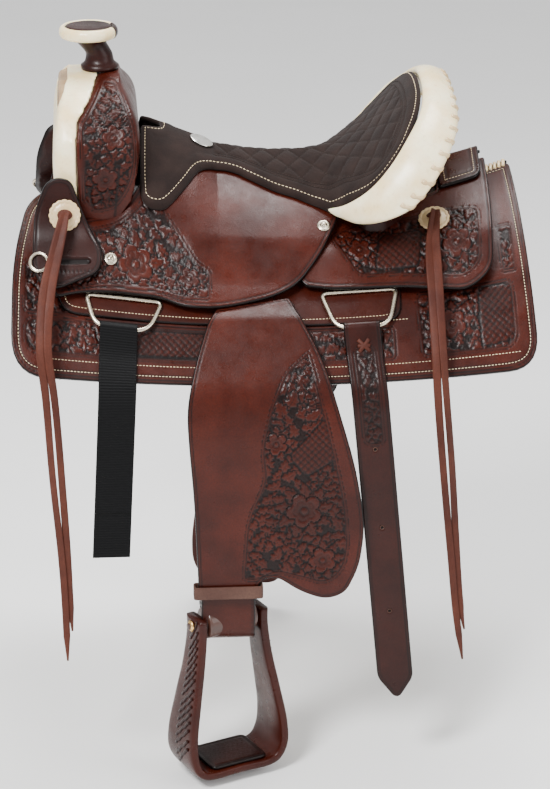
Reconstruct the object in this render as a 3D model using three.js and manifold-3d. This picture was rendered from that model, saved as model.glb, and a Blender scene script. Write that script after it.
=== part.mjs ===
// A western roping saddle in millimetres: +Z up, the horse's head towards -X, the near (left) side at -Y.
// The origin is on the centre plane where the saddle's underside crosses the horse's back.
import * as THREE from "three";
import { mergeVertices } from "three/addons/utils/BufferGeometryUtils.js";
import Module from "manifold-3d";

const wasm = await Module();
wasm.setup();

// ---------------------------------------------------------------- driving dimensions

// The horse's barrel: each side is an arc that starts CREST_SLOPE down at the centre plane, and the
// spine line rises towards both ends. A place on it is x, s (the arc length down the side) and h (above it).
const BARREL_R = 395;
const CREST_SLOPE = THREE.MathUtils.degToRad(14);
const SKIRT_DROP = 303;
const ROCKER_MID_X = 20;
const ROCKER_LIFT = 50;
const ROCKER_SPAN = 291;

// Layers above the barrel: [underside, top].
const GAP = 0.5;
const FLEECE_H = [0.5, 15.5];
const SKIRT_H = [18, 23];
const BAR_H = [24, 42];
const RIGGING_H = [24, 28];
const LEATHER = 4.5;
const BAR_EDGE_S = 108;
const BAR_GROOVE = 6;
const DEE_H = 31.5;
const WIRE_R = 2.75;

// Skirts, rigging and jockeys.
const SKIRT_BACK_X = 323;
const SKIRT_FRONT_X = -352;
const SKIRT_BOTTOM_S = 287;
const RIGGING_X = [-290, 150];
const RIGGING_S = [113, 213];
const JOCKEY_FRONT_TOP = 42;
const JOCKEY_LEG_TOP = 46;
const JOCKEY_REAR_TOP = 48;
const JOCKEY_OVER_BARS = 53;
const JOCKEY_LEG_LUMP = 6;
const REAR_JOCKEY_TOP = 42;
const REAR_JOCKEY_OVER_BARS = 48.5;
const DEE_LIP_FRONT_S = 188;
const DEE_LIP_REAR_S = 171;

// Seat and cantle: x, centre height; then x, half width and height of the rim that holds the roll.
const SEAT_CENTRE = [
  [-200, 150], [-165, 140], [-145, 131], [-106, 116], [-80, 104], [-40, 97], [-7, 94],
  [33, 94], [64, 98], [90, 106], [120, 126], [150, 156], [176, 184], [192, 194],
];
const RIM_INNER = [
  [64, 112, 42], [84, 134, 53], [112, 153, 77], [138, 154, 107],
  [163, 137, 141], [183, 102, 166], [191, 60, 183], [192, 0, 194],
];
const RIM_OUTER = [
  [78, 126, 36], [98, 156, 36], [127, 176, 45], [161, 181, 62],
  [186, 178, 89], [207, 160, 118], [228, 110, 153], [228, 0, 184],
];
const ROLL_THICKNESS = 20;

// Fork and horn.
const FORK_TOP_Z = 208;
const FORK_WALL = 7;
const HORN_BASE = [-229, 0, FORK_TOP_Z + GAP];
const HORN_LEAN = 0.3;
const HORN_NECK_H = 37;
const HORN_CAP_R = 37.5;
const HORN_CAP_H = 15;

// Hanging parts: how far out they hang, and where they stop.
const LEG_H = 35;
const LEG_HANG_Y = 271;
const NECK_HALF_W = 35;
const NECK_X = -80;
const FENDER_BOTTOM_Z = -428;
const HOBBLE_Z = -428;
const BOLT_Z = -470;
const STIRRUP_YAW = THREE.MathUtils.degToRad(25);
const ROLLER_R = 21;
const TREAD_DEPTH = 76;
const LATIGO = { width: 48, bottomZ: -372, lean: -0.054, pointed: false, offset: -8 };
const OFF_BILLET = { width: 44, bottomZ: -345, lean: 0, pointed: true };
const BILLETS = {
  near: { width: 46, bottomZ: -590, lean: 0.095, pointed: true },
  far: { width: 46, bottomZ: -330, lean: 0.26, pointed: true, offset: 8 },
};

const SIDES = [
  { name: "near", y: -1, shorter: 0, swing: 0 },
  { name: "far", y: 1, shorter: 55, swing: THREE.MathUtils.degToRad(5) },
];

// ---------------------------------------------------------------- small helpers

const COLOURS = {
  leather: [0x5a2a1c, 0.45, 0],
  edge: [0x1a1210, 0.5, 0],
  suede: [0x2b1a16, 0.95, 0],
  rawhide: [0xe8d6ac, 0.4, 0],
  fleece: [0xd9cfb8, 1, 0],
  wood: [0x9c7a4d, 0.7, 0],
  nylon: [0x101012, 0.8, 0],
  metal: [0xc8c2b4, 0.3, 1],
};
const saddle = new THREE.Group();

function add(name, geometry, look) {
  const [color, roughness, metalness] = COLOURS[look];
  const mesh = new THREE.Mesh(geometry, new THREE.MeshStandardMaterial({ color, roughness, metalness }));
  mesh.name = name;
  saddle.add(mesh);
  return mesh;
}

const clamp01 = (u) => Math.min(Math.max(u, 0), 1);

function ease(u) {
  const c = clamp01(u);
  return c * c * (3 - 2 * c);
}

// The value at x on a line through [x, value, ...] rows.
function lookUp(rows, x, column = 1) {
  const after = rows.findIndex((row) => row[0] >= x);
  if (after === 0) return rows[0][column];
  if (after < 0) return rows[rows.length - 1][column];
  const [a, b] = [rows[after - 1], rows[after]];
  return a[column] + ((b[column] - a[column]) * (x - a[0])) / (b[0] - a[0]);
}

function rocker(x) {
  return ROCKER_LIFT * ((x - ROCKER_MID_X) / ROCKER_SPAN) ** 2;
}

// The point h above the barrel at x and s.
function onBarrel(x, s, h, side) {
  const t = CREST_SLOPE + s / BARREL_R;
  const y = (BARREL_R + h) * Math.sin(t) - BARREL_R * Math.sin(CREST_SLOPE);
  const z = (BARREL_R + h) * Math.cos(t) - BARREL_R * Math.cos(CREST_SLOPE);
  return new THREE.Vector3(x, side * y, z + rocker(x) * (1 - (0.75 * s) / SKIRT_DROP));
}

// The height of the surface h(x, s) above the barrel, at a distance y from the centre plane.
function heightOver(x, y, h) {
  let s = 0;
  let top = 0;
  for (let pass = 0; pass < 6; pass++) {
    top = h(x, s);
    const out = Math.abs(y) + BARREL_R * Math.sin(CREST_SLOPE);
    s = BARREL_R * (Math.asin(out / (BARREL_R + top)) - CREST_SLOPE);
  }
  return onBarrel(x, s, top, 1).z;
}

// A closed outline from [x, y, corner radius] points.
function outline(points) {
  const path = new THREE.Path();
  const n = points.length;
  points.forEach(([x, y, r = 0], i) => {
    const here = new THREE.Vector2(x, y);
    const back = new THREE.Vector2(...points[(i + n - 1) % n]).sub(here);
    const on = new THREE.Vector2(...points[(i + 1) % n]).sub(here);
    const reach = Math.min(r, back.length() * 0.48, on.length() * 0.48);
    const start = here.clone().add(back.setLength(reach));
    const end = here.clone().add(on.setLength(reach));
    if (i === 0) path.moveTo(start.x, start.y);
    else path.lineTo(start.x, start.y);
    if (r) path.quadraticCurveTo(x, y, end.x, end.y);
  });
  const list = path.getPoints(2);
  return list.filter((p, i) => p.distanceTo(list[(i + 1) % list.length]) > 0.05);
}

function closedGeometry(vertices, triangles) {
  const volume = triangles.reduce((sum, [a, b, c]) => {
    return sum + vertices[a].dot(vertices[b].clone().cross(vertices[c]));
  }, 0);
  const index = volume < 0 ? triangles.flatMap(([a, b, c]) => [a, c, b]) : triangles.flat();
  const geometry = new THREE.BufferGeometry().setFromPoints(vertices);
  geometry.setIndex(index);
  return geometry;
}

// The parts of a polygon on the side of a line where distance(point) is not negative.
// The runs of kept points are joined along the line in the order of place(point) on it.
function cut(polygon, distance, place) {
  const d = polygon.map(distance);
  if (d.every((v) => v >= 0)) return [polygon];
  const n = polygon.length;
  const crossing = (i, j) => polygon[i].clone().lerp(polygon[j], d[i] / (d[i] - d[j]));
  const runs = [];
  for (let i = 0; i < n; i++) {
    const before = (i + n - 1) % n;
    if (d[i] < 0 || d[before] >= 0) continue;
    const run = [crossing(before, i)];
    let k = i;
    for (; d[k] >= 0; k = (k + 1) % n) run.push(polygon[k]);
    run.push(crossing((k + n - 1) % n, k));
    runs.push(run);
  }
  const ends = runs.flatMap((run) => [run[0], run[run.length - 1]]).sort((p, q) => place(p) - place(q));
  const partner = (p) => ends[ends.indexOf(p) ^ 1];
  const parts = [];
  const left = new Set(runs);
  for (const first of runs) {
    if (!left.has(first)) continue;
    const part = [];
    for (let run = first; left.delete(run); ) {
      part.push(...run);
      run = runs.find((r) => r[0] === partner(run[run.length - 1]));
    }
    parts.push(part);
  }
  return parts;
}

// Keeps the grid's lines off the outlines' round-numbered corners.
const GRID_SHIFT = [0.137, 0.291];

// A plate with this outline in (u, v), from low(u, v) to high(u, v) above the surface place(u, v, h).
// Every plate on one surface is cut on the same grid, so its facets are parallel to its neighbours'.
function plate(points, place, low, high, stepU = 68, stepV = 42, shift = GRID_SHIFT) {
  const box = new THREE.Box2().setFromPoints(points);
  const pieces = [];
  const column = (p) => p.x / stepU - shift[0];
  const row = (p) => p.y / stepV - shift[1];
  const [alongX, alongY] = [(p) => p.x, (p) => p.y];
  for (let i = Math.floor(column(box.min)); i < column(box.max); i++) {
    for (let j = Math.floor(row(box.min)); j < row(box.max); j++) {
      for (const sign of [1, -1]) {
        const corner = sign > 0 ? 0 : 1;
        const inColumn = cut(points, (p) => sign * (column(p) - i - corner), alongY);
        const inCell = inColumn.flatMap((part) => cut(part, (p) => sign * (row(p) - j - corner), alongX));
        const overDiagonal = (p) => sign * (i + j + 1 - column(p) - row(p));
        pieces.push(...inCell.flatMap((part) => cut(part, overDiagonal, alongX)));
      }
    }
  }
  const flat = [];
  const idOf = (p) => {
    const known = flat.findIndex((q) => q.distanceToSquared(p) < 1e-4);
    return known >= 0 ? known : flat.push(p) - 1;
  };
  const top = [];
  pieces.forEach((piece) => {
    const ids = piece.map(idOf).filter((id, i, all) => id !== all[(i + 1) % all.length]);
    if (ids.length < 3 || Math.abs(THREE.ShapeUtils.area(ids.map((id) => flat[id]))) < 1e-7) return;
    const faces = THREE.ShapeUtils.triangulateShape(ids.map((id) => flat[id]), []);
    top.push(...faces.map((face) => face.map((k) => ids[k])));
  });
  const n = flat.length;
  const edges = new Set(top.flatMap(([a, b, c]) => [a + ">" + b, b + ">" + c, c + ">" + a]));
  const pairs = [...edges].map((edge) => edge.split(">").map(Number));
  const rim = pairs.filter(([a, b]) => !edges.has(b + ">" + a));
  const sides = rim.flatMap(([a, b]) => [
    [b, a, a + n],
    [b, a + n, b + n],
  ]);
  const asFunction = (h) => (typeof h === "function" ? h : () => h);
  const [lowAt, highAt] = [asFunction(low), asFunction(high)];
  const vertices = [
    ...flat.map((p) => place(p.x, p.y, highAt(p.x, p.y))),
    ...flat.map((p) => place(p.x, p.y, lowAt(p.x, p.y))),
  ];
  return closedGeometry(vertices, [...top, ...top.map(([a, b, c]) => [c + n, b + n, a + n]), ...sides]);
}

// A solid through rings of equal point counts: capped at both ends, or closed on itself.
function loft(rings, closed = false) {
  const n = rings[0].length;
  const vertices = rings.flat();
  const triangles = [];
  const last = closed ? rings.length : rings.length - 1;
  for (let k = 0; k < last; k++) {
    for (let i = 0; i < n; i++) {
      const [a, b] = [k * n + i, k * n + ((i + 1) % n)];
      const next = ((k + 1) % rings.length) * n;
      const [c, d] = [next + i, next + ((i + 1) % n)];
      triangles.push([a, b, d], [a, d, c]);
    }
  }
  if (!closed) {
    for (let i = 1; i + 1 < n; i++) {
      const end = (rings.length - 1) * n;
      triangles.push([0, i + 1, i], [end, end + i, end + i + 1]);
    }
  }
  return closedGeometry(vertices, triangles);
}

function toSolid(geometry) {
  const bare = geometry.clone();
  bare.deleteAttribute("normal");
  bare.deleteAttribute("uv");
  const merged = mergeVertices(bare, 1e-4);
  return new wasm.Manifold(
    new wasm.Mesh({
      numProp: 3,
      vertProperties: new Float32Array(merged.attributes.position.array),
      triVerts: new Uint32Array(merged.index.array),
    }),
  );
}

function toGeometry(solid) {
  const mesh = solid.getMesh();
  const geometry = new THREE.BufferGeometry();
  geometry.setAttribute("position", new THREE.BufferAttribute(new Float32Array(mesh.vertProperties), 3));
  geometry.setIndex(new THREE.BufferAttribute(new Uint32Array(mesh.triVerts), 1));
  return geometry;
}

function largest(solid) {
  return solid.decompose().sort((a, b) => b.volume() - a.volume())[0];
}

// The outline extruded along X, its first coordinate along Y and its second along Z.
function extrudeX(points, fromX, toX, bevel = 0) {
  const settings = {
    depth: toX - fromX - 2 * bevel,
    bevelEnabled: bevel > 0,
    bevelSize: bevel,
    bevelThickness: bevel,
    bevelOffset: -bevel,
    bevelSegments: 3,
    steps: 1,
  };
  const geometry = new THREE.ExtrudeGeometry(new THREE.Shape(points), settings);
  const axes = new THREE.Matrix4().set(0, 0, 1, fromX + bevel, 1, 0, 0, 0, 0, 1, 0, 0, 0, 0, 0, 1);
  return geometry.applyMatrix4(axes);
}

// The outline extruded along Y, its first coordinate along X and its second along Z.
function extrudeY(points, fromY, toY) {
  const geometry = new THREE.ExtrudeGeometry(new THREE.Shape(points),
    { depth: toY - fromY, bevelEnabled: false });
  const axes = new THREE.Matrix4().set(1, 0, 0, 0, 0, 0, -1, toY, 0, 1, 0, 0, 0, 0, 0, 1);
  return geometry.applyMatrix4(axes);
}

// Stands a piece made along +Z at (u, v) on the surface at(u, v), lifted off it.
function stand(mesh, at, u, v, lift, side) {
  const foot = at(u, v);
  const alongU = at(u + 6, v).sub(at(u - 6, v));
  const alongV = at(u, v + 6).sub(at(u, v - 6));
  const normal = alongU.cross(alongV).normalize();
  if (normal.y * side < 0) normal.negate();
  mesh.position.copy(foot).addScaledVector(normal, lift);
  mesh.quaternion.setFromUnitVectors(new THREE.Vector3(0, 0, 1), normal);
  return mesh;
}

// A surface that runs straight along X over a profile in (y, z): place(x, a, h) with a the length along it.
function overProfile(points, side) {
  const curve = new THREE.CatmullRomCurve3(
    points.map(([y, z]) => new THREE.Vector3(0, y, z)),
    false,
    "centripetal",
  );
  const length = curve.getLength();
  const place = (x, a, h) => {
    const u = clamp01(a / length);
    const p = curve.getPointAt(u);
    const t = curve.getTangentAt(u);
    return new THREE.Vector3(x, side * (p.y - t.z * h), p.z + t.y * h);
  };
  return { place, length, curve };
}

// ---------------------------------------------------------------- the surfaces that the leather follows

// The lift over the stirrup leathers: 1 where they pass, 0 well in front and behind.
const legZone = (x) => ease((x + 150) / 40) - ease((x - 15) / 45);

function jockeyBase(x, s) {
  const front = JOCKEY_FRONT_TOP + (JOCKEY_LEG_TOP - JOCKEY_FRONT_TOP) * ease((x + 150) / 40);
  const outer = front + (JOCKEY_REAR_TOP - JOCKEY_LEG_TOP) * ease((x - 15) / 45);
  const inner = JOCKEY_OVER_BARS + JOCKEY_LEG_LUMP * legZone(x);
  return outer + (inner - outer) * (1 - ease((s - BAR_EDGE_S) / 63));
}

// The top of the seat jockeys above the barrel: the base, raised towards the centre to carry the seat.
const SEAT_PAD = 9;
function jockeyTop(x, s) {
  const at = Math.min(x, 70);
  const bare = heightOver(at, 0, jockeyBase);
  const raise = Math.max(lookUp(SEAT_CENTRE, at) - SEAT_PAD - bare, 0) * ease((x + 235) / 45);
  return jockeyBase(x, s) + raise * (1 - ease((s + 18) / 175));
}

function rearJockeyTop(x, s) {
  return REAR_JOCKEY_TOP + (REAR_JOCKEY_OVER_BARS - REAR_JOCKEY_TOP) * (1 - ease((s - 114) / 52));
}

// The top of the padded seat: over the jockeys in front, a dish held by the rim behind.
function seatTop(x, y) {
  const dish = ease((x - 40) / 50);
  const front = dish < 1 ? heightOver(x, y, jockeyTop) + SEAT_PAD : 0;
  if (dish === 0) return front;
  const centre = lookUp(SEAT_CENTRE, x);
  const fall = centre - lookUp(RIM_INNER, x, 2);
  const across = Math.abs(y) / lookUp(RIM_INNER, x);
  return front * (1 - dish) + (centre - fall * across ** 2.2) * dish;
}

const barrelPlace = (side) => (x, s, h) => onBarrel(x, s, h, side);
const upright = (x, y, z) => new THREE.Vector3(x, y, z);

// An outline that is symmetrical about the centre plane, from its -Y half listed front to back.
function mirrored(half) {
  const back = half.filter(([, y]) => y !== 0).map(([x, y]) => [x, -y]);
  return [...half, ...back.reverse()].map(([x, y]) => new THREE.Vector2(x, y));
}

// ---------------------------------------------------------------- tree: bars, fork, horn, cantle

// The groove's outline on the bar, open at the bar's lower edge.
const GROOVE_EDGE = [[-98, 38, 10], [8, 38, 10], [8, 125], [-98, 125]];

// A bar, with the groove across its top that the stirrup leather swings in.
function treeBar(side) {
  const edge = outline([
    [-288, 24, 12], [-288, 92, 30], [-240, BAR_EDGE_S, 20],
    [205, BAR_EDGE_S, 40], [238, 80, 30], [238, 24, 20],
  ]);
  const groove = outline(GROOVE_EDGE);
  const bar = toSolid(plate(edge, barrelPlace(side), BAR_H[0], BAR_H[1]));
  const notch = toSolid(plate(groove, barrelPlace(side), BAR_H[1] - BAR_GROOVE, BAR_H[1] + 10, 34, 29));
  return toGeometry(bar.subtract(notch));
}

// The fork's arch seen from the front, its skin thinned by `inset`.
function forkArch(inset) {
  const outer = [[28, 208], [66, 195], [104, 172], [125, 142], [127, 105], [121, 65], [117, 0]];
  const inner = [[60, 0], [59, 58], [50, 92], [28, 116]];
  const shrink = ([y, z], sign) => {
    const reach = Math.hypot(y, z - 100);
    const scale = 1 - (sign * inset) / Math.max(reach, 40);
    return z === 0 ? [y - sign * inset, z] : [y * scale, 100 + (z - 100) * scale];
  };
  const half = [...outer.map((p) => shrink(p, 1)), ...inner.map((p) => shrink(p, -1))];
  const points = [...half, ...half.map(([y, z]) => [-y, z]).reverse()];
  return points.map(([y, z]) => new THREE.Vector2(y, z));
}

// Everything below the tree bars' tops, to cut the feet of what stands on them.
function belowBars(clear) {
  const edge = outline([[-340, 0], [-340, 160], [290, 160], [290, 0]]);
  const halves = SIDES.map(({ y }) => toSolid(plate(edge, barrelPlace(y), -80, BAR_H[1] + clear)));
  const spineSection = [[-12, -140], [12, -140], [12, 38], [-12, 38]].map((p) => new THREE.Vector2(...p));
  const spine = toSolid(extrudeX(spineSection, -340, 290));
  return halves[0].add(halves[1]).add(spine);
}

// Side views of the fork: the rawhide front and the tooled swell share one edge.
const FORK_SEAM = [[-224, 222], [-243, 186], [-259, 165], [-262, 140], [-261, 0]];
const SWELL_BACK = [
  [-250, 0], [-240, 34], [-210, 38], [-194, 60], [-186, 91], [-181, 120],
  [-180, 142], [-182, 160], [-190, 180], [-202, 199], [-206, 222],
];
const FORK_FACE = [
  [-286, 0], [-289, 54], [-293, 100], [-291, 147], [-286, 174], [-275, 198], [-262, 222],
];

function sideView(points, shift = 0) {
  return toSolid(extrudeY(points.map(([x, z]) => new THREE.Vector2(x + shift, z)), -160, 160));
}

function buildFork() {
  const feet = belowBars(2 * GAP);
  const core = toSolid(extrudeX(forkArch(FORK_WALL), -284, -190, 8)).subtract(feet);
  const coreRoom = toSolid(extrudeX(forkArch(FORK_WALL - GAP), -284.5, -189.5, 8));
  const roomSide = sideView([[-285, -5], [-285, 201], [-230, 201], [-195, 181], [-189, 120], [-199, 69],
    [-211, 50], [-237, -5]]);
  const block = toSolid(extrudeX(forkArch(0), -294, -178, 12));
  const skin = block.subtract(feet).subtract(coreRoom.intersect(roomSide));
  const swell = skin.intersect(sideView([...FORK_SEAM.slice().reverse(), ...SWELL_BACK.slice().reverse()]));
  const frontSide = [...FORK_SEAM.slice().reverse(), ...FORK_FACE.slice().reverse()];
  const front = skin.intersect(sideView(frontSide, -GAP));
  const inside = sideView([[-284, 0], [-284, 200], [-230, 200], [-196, 180], [-190, 120], [-200, 70],
    [-212, 52], [-238, 0]]);
  add("fork", toGeometry(core.intersect(inside)), "wood");
  add("swell_cover", toGeometry(swell), "leather");
  add("fork_front_rawhide", toGeometry(front), "rawhide");
}

function lathe(profile, sides = 24) {
  const geometry = new THREE.LatheGeometry(profile.map(([r, z]) => new THREE.Vector2(r, z)), sides);
  return geometry.rotateX(Math.PI / 2);
}

function buildHorn() {
  const neck = lathe([[0, 0], [21, 0], [21, 4], [18, 8], [16.5, 15], [16.5, 24], [19, 32],
    [23, HORN_NECK_H], [0, HORN_NECK_H]]);
  neck.applyMatrix4(new THREE.Matrix4().makeShear(0, 0, 0, 0, -HORN_LEAN, 0));
  add("horn", neck, "leather").position.set(...HORN_BASE);
  const rimInner = HORN_CAP_R - 7;
  const capAt = [HORN_BASE[0] - HORN_LEAN * HORN_NECK_H, 0, HORN_BASE[2] + HORN_NECK_H + GAP];
  const capTop = [[rimInner - 6, HORN_CAP_H], [0, HORN_CAP_H]];
  const cap = lathe([[0, 0], [rimInner, 0], [rimInner, HORN_CAP_H - 2], ...capTop], 28);
  add("horn_cap", cap, "leather").position.set(...capAt);
  const inner = rimInner + GAP;
  const rimSection = [
    [inner, 1], [inner + 4, 0], [HORN_CAP_R, 4], [HORN_CAP_R, HORN_CAP_H - 5],
    [inner + 4, HORN_CAP_H - 1], [inner, HORN_CAP_H - 2], [inner, 1],
  ];
  const rim = lathe(rimSection, 28);
  add("horn_rim_rawhide", rim, "rawhide").position.set(...capAt);
}

function rimCurve(rows) {
  const near = rows.map(([x, y, z]) => new THREE.Vector3(x, -y, z));
  const far = rows.slice(0, -1).map(([x, y, z]) => new THREE.Vector3(x, y, z)).reverse();
  return new THREE.CatmullRomCurve3([...near, ...far], false, "centripetal");
}

// The rawhide roll: flat oval sections between the rim's inner and outer edges.
function cantleRoll() {
  const [inner, outer] = [rimCurve(RIM_INNER), rimCurve(RIM_OUTER)];
  const stations = 30;
  const rings = [];
  for (let k = 0; k <= stations; k++) {
    const t = k / stations;
    const [i, o] = [inner.getPoint(t), outer.getPoint(t)];
    const middle = i.clone().add(o).multiplyScalar(0.5);
    const wide = o.clone().sub(i).multiplyScalar(0.5);
    const along = inner.getTangent(t).add(outer.getTangent(t)).normalize();
    const thick = along.clone().cross(wide).normalize();
    thick.multiplyScalar((ROLL_THICKNESS / 2) * Math.min(1, 0.35 + 8 * Math.min(t, 1 - t)));
    const ring = [];
    for (let j = 0; j < 10; j++) {
      const angle = (j / 10) * 2 * Math.PI;
      const spot = middle.clone().addScaledVector(wide, Math.cos(angle));
      ring.push(spot.addScaledVector(thick, Math.sin(angle)));
    }
    rings.push(ring);
  }
  return loft(rings);
}

const SEAT_EDGE = [
  [-152, 0], [-153, -13], [-163, -19], [-178, -22], [-180, -66], [-181, -94], [-180, -112],
  [-170, -118], [-152, -117], [-134, -102], [-118, -84], [-108, -68], [-98, -57], [-80, -48],
  [-56, -49], [-24, -66], [-5, -76], [27, -88], [50, -98], [66, -109], [86, -129],
  [111, -148], [136, -149], [159, -134], [178, -99.5], [186.5, -59.5], [188, 0],
];
const CANTLE_EDGE = [
  [69, -42], [88, -46], [96, -116], [112, -134], [134, -136], [156, -120], [174, -90], [184, -50], [188, 0],
];

// The grid that the seat, the ground seat and the cantle share: the two steps and the shift.
const SEAT_GRID = [36, 28, [0.21, 0.43]];

function buildSeat(roll) {
  const topOfCantle = (x, y) => seatTop(x, y) - SEAT_PAD - 3;
  const footOfCantle = (x, y) => heightOver(x, y, () => BAR_H[1] + GAP + 10 * ease((Math.abs(y) - 46) / 14));
  const cantle = toSolid(plate(mirrored(CANTLE_EDGE), upright, footOfCantle, topOfCantle, ...SEAT_GRID));
  add("cantle_board", toGeometry(largest(cantle.subtract(roll))), "wood");
  const groundEdge = mirrored([[-148, -40], [66, -40]]);
  const groundLow = (x, y) => heightOver(x, y, () => BAR_H[1] + GAP);
  const groundHigh = (x, y) => heightOver(x, y, jockeyTop) - LEATHER - 3;
  add("ground_seat", plate(groundEdge, upright, groundLow, groundHigh, ...SEAT_GRID), "leather");
  const seatLow = (x, y) => seatTop(x, y) - SEAT_PAD + 3;
  add("seat", plate(mirrored(SEAT_EDGE), upright, seatLow, seatTop, ...SEAT_GRID), "suede");
}

// ---------------------------------------------------------------- skirts, fleece, rigging, jockeys

// The front edge of each skirt, from the spine down: x, s, corner radius.
const SKIRT_FRONT = {
  near: [[-300, 44, 14], [-328, 78, 24], [-347, 160, 60]],
  far: [[-292, 110, 20], [-330, 185, 60]],
};

function skirtEdge(side, inset) {
  const front = SKIRT_FRONT[side.name].map(([x, s, r]) => [x + inset, s, r]);
  return outline([
    [SKIRT_FRONT_X + inset, SKIRT_BOTTOM_S - inset, 45],
    [SKIRT_BACK_X - inset, SKIRT_BOTTOM_S - inset, 40],
    [SKIRT_BACK_X - 11 - inset, inset, 8],
    [-292 + inset, inset, 6],
    ...front,
  ]);
}

const SEAT_JOCKEY_EDGE = [
  [-296, 146, 6], [-294, 203, 10], [-262, DEE_LIP_FRONT_S + 4, 30], [-225, DEE_LIP_FRONT_S - 1, 20],
  [-160, DEE_LIP_FRONT_S - 1, 20], [-128, 199, 30], [-88, 199, 30], [-45, 190, 30],
  [-12, 181, 20], [18, 165, 20], [50, 128, 20], [74, 85, 14], [82, 62, 8], [66, 40, 6],
  [66, -4], [-148, -4], [-150, 18], [-172, 20], [-174, 72], [-186, 92, 10],
  [-205, 116, 10], [-240, 128, 10], [-265, 136, 10],
];
const REAR_JOCKEY_EDGE = [
  [18, 150, 10], [26, DEE_LIP_REAR_S - 5, 8], [60, DEE_LIP_REAR_S, 10], [150, DEE_LIP_REAR_S + 4, 20],
  [236, 190, 16], [270, 168, 24], [275, 90, 20], [277, 5, 4], [208, 5, 4], [208, 72, 4], [66, 72, 10],
];

function buildLeather(side) {
  const place = barrelPlace(side.y);
  add("fleece_" + side.name, plate(skirtEdge(side, 4), place, ...FLEECE_H, 100, 60), "fleece");
  add("skirt_" + side.name, plate(skirtEdge(side, 0), place, ...SKIRT_H), "leather");
  const rigging = outline([
    [RIGGING_X[0], RIGGING_S[0], 10], [RIGGING_X[0], RIGGING_S[1], 25],
    [RIGGING_X[1], RIGGING_S[1], 25], [RIGGING_X[1], RIGGING_S[0], 10],
  ]);
  add("rigging_plate_" + side.name, plate(rigging, place, ...RIGGING_H), "leather");
  const seatJockey = plate(outline(SEAT_JOCKEY_EDGE), place, (x, s) => jockeyTop(x, s) - LEATHER, jockeyTop);
  add("seat_jockey_" + side.name, seatJockey, "leather");
  const rearLow = (x, s) => rearJockeyTop(x, s) - LEATHER;
  const rearJockey = plate(outline(REAR_JOCKEY_EDGE), place, rearLow, rearJockeyTop);
  add("rear_jockey_" + side.name, rearJockey, "leather");
}

// The piece behind the cantle that joins the two rear jockeys over the spine.
function rearBridge() {
  const low = (x, y) => heightOver(x, y, () => REAR_JOCKEY_OVER_BARS + 2);
  const edge = mirrored([[212, -62], [262, -58], [268, -50], [270, 0]]);
  return plate(edge, upright, low, (x, y) => low(x, y) + LEATHER, 40, 30);
}

// ---------------------------------------------------------------- dees and straps

const FRONT_DEE = { x: -206, s: DEE_LIP_FRONT_S + 0.5, halfW: 49, drop: 44, strapH: 25.6 };
const REAR_DEE = { x: 96, s: DEE_LIP_REAR_S + 0.5, halfW: 49, drop: 54, strapH: 25 };

// Where a dee hangs: its bar and the way it runs, the direction the dee lies in, and the middle of its bow.
function deeFrame(dee, side) {
  const bar = onBarrel(dee.x, dee.s, DEE_H, side);
  const along = onBarrel(dee.x + 1, dee.s, DEE_H, side).sub(bar).normalize();
  const down = onBarrel(dee.x, dee.s + 1, DEE_H, side).sub(bar).normalize();
  const out = along.clone().cross(down).normalize();
  down.copy(out).cross(along).normalize();
  return { bar, along, down, out, bow: bar.clone().addScaledVector(down, dee.drop) };
}

// A wire ring: a straight bar above, and a narrower straight bow below for the strap.
function deeRing(dee, side) {
  const { bar, along, down, out } = deeFrame(dee, side);
  const bow = dee.halfW - 15;
  const route = outline([[-dee.halfW, 0, 6], [dee.halfW, 0, 6], [bow, dee.drop, 7], [-bow, dee.drop, 7]]);
  const centre = route.map((p) => bar.clone().addScaledVector(along, p.x).addScaledVector(down, p.y));
  const sides = 6;
  const rings = centre.map((p, k) => {
    const next = centre[(k + 1) % centre.length].clone().sub(p).normalize();
    const last = p.clone().sub(centre[(k + centre.length - 1) % centre.length]).normalize();
    const aside = next.add(last).normalize().cross(out).normalize();
    return Array.from({ length: sides }, (_, j) => {
      const angle = (j / sides) * 2 * Math.PI;
      const [c, s] = [WIRE_R * Math.cos(angle), WIRE_R * Math.sin(angle)];
      return p.clone().addScaledVector(aside, c).addScaledVector(out, s);
    });
  });
  return loft(rings, true);
}

function annulusX(centreY, centreZ, innerR, outerR, fromX, toX) {
  const shape = new THREE.Shape().absarc(0, 0, outerR, 0, 2 * Math.PI);
  shape.holes.push(new THREE.Path().absarc(0, 0, innerR, 0, 2 * Math.PI, true));
  const settings = { depth: toX - fromX, bevelEnabled: false, curveSegments: 8 };
  const geometry = new THREE.ExtrudeGeometry(shape, settings);
  const axes = new THREE.Matrix4().set(0, 0, 1, fromX, 1, 0, 0, centreY, 0, 1, 0, centreZ, 0, 0, 0, 1);
  return geometry.applyMatrix4(axes);
}

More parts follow.
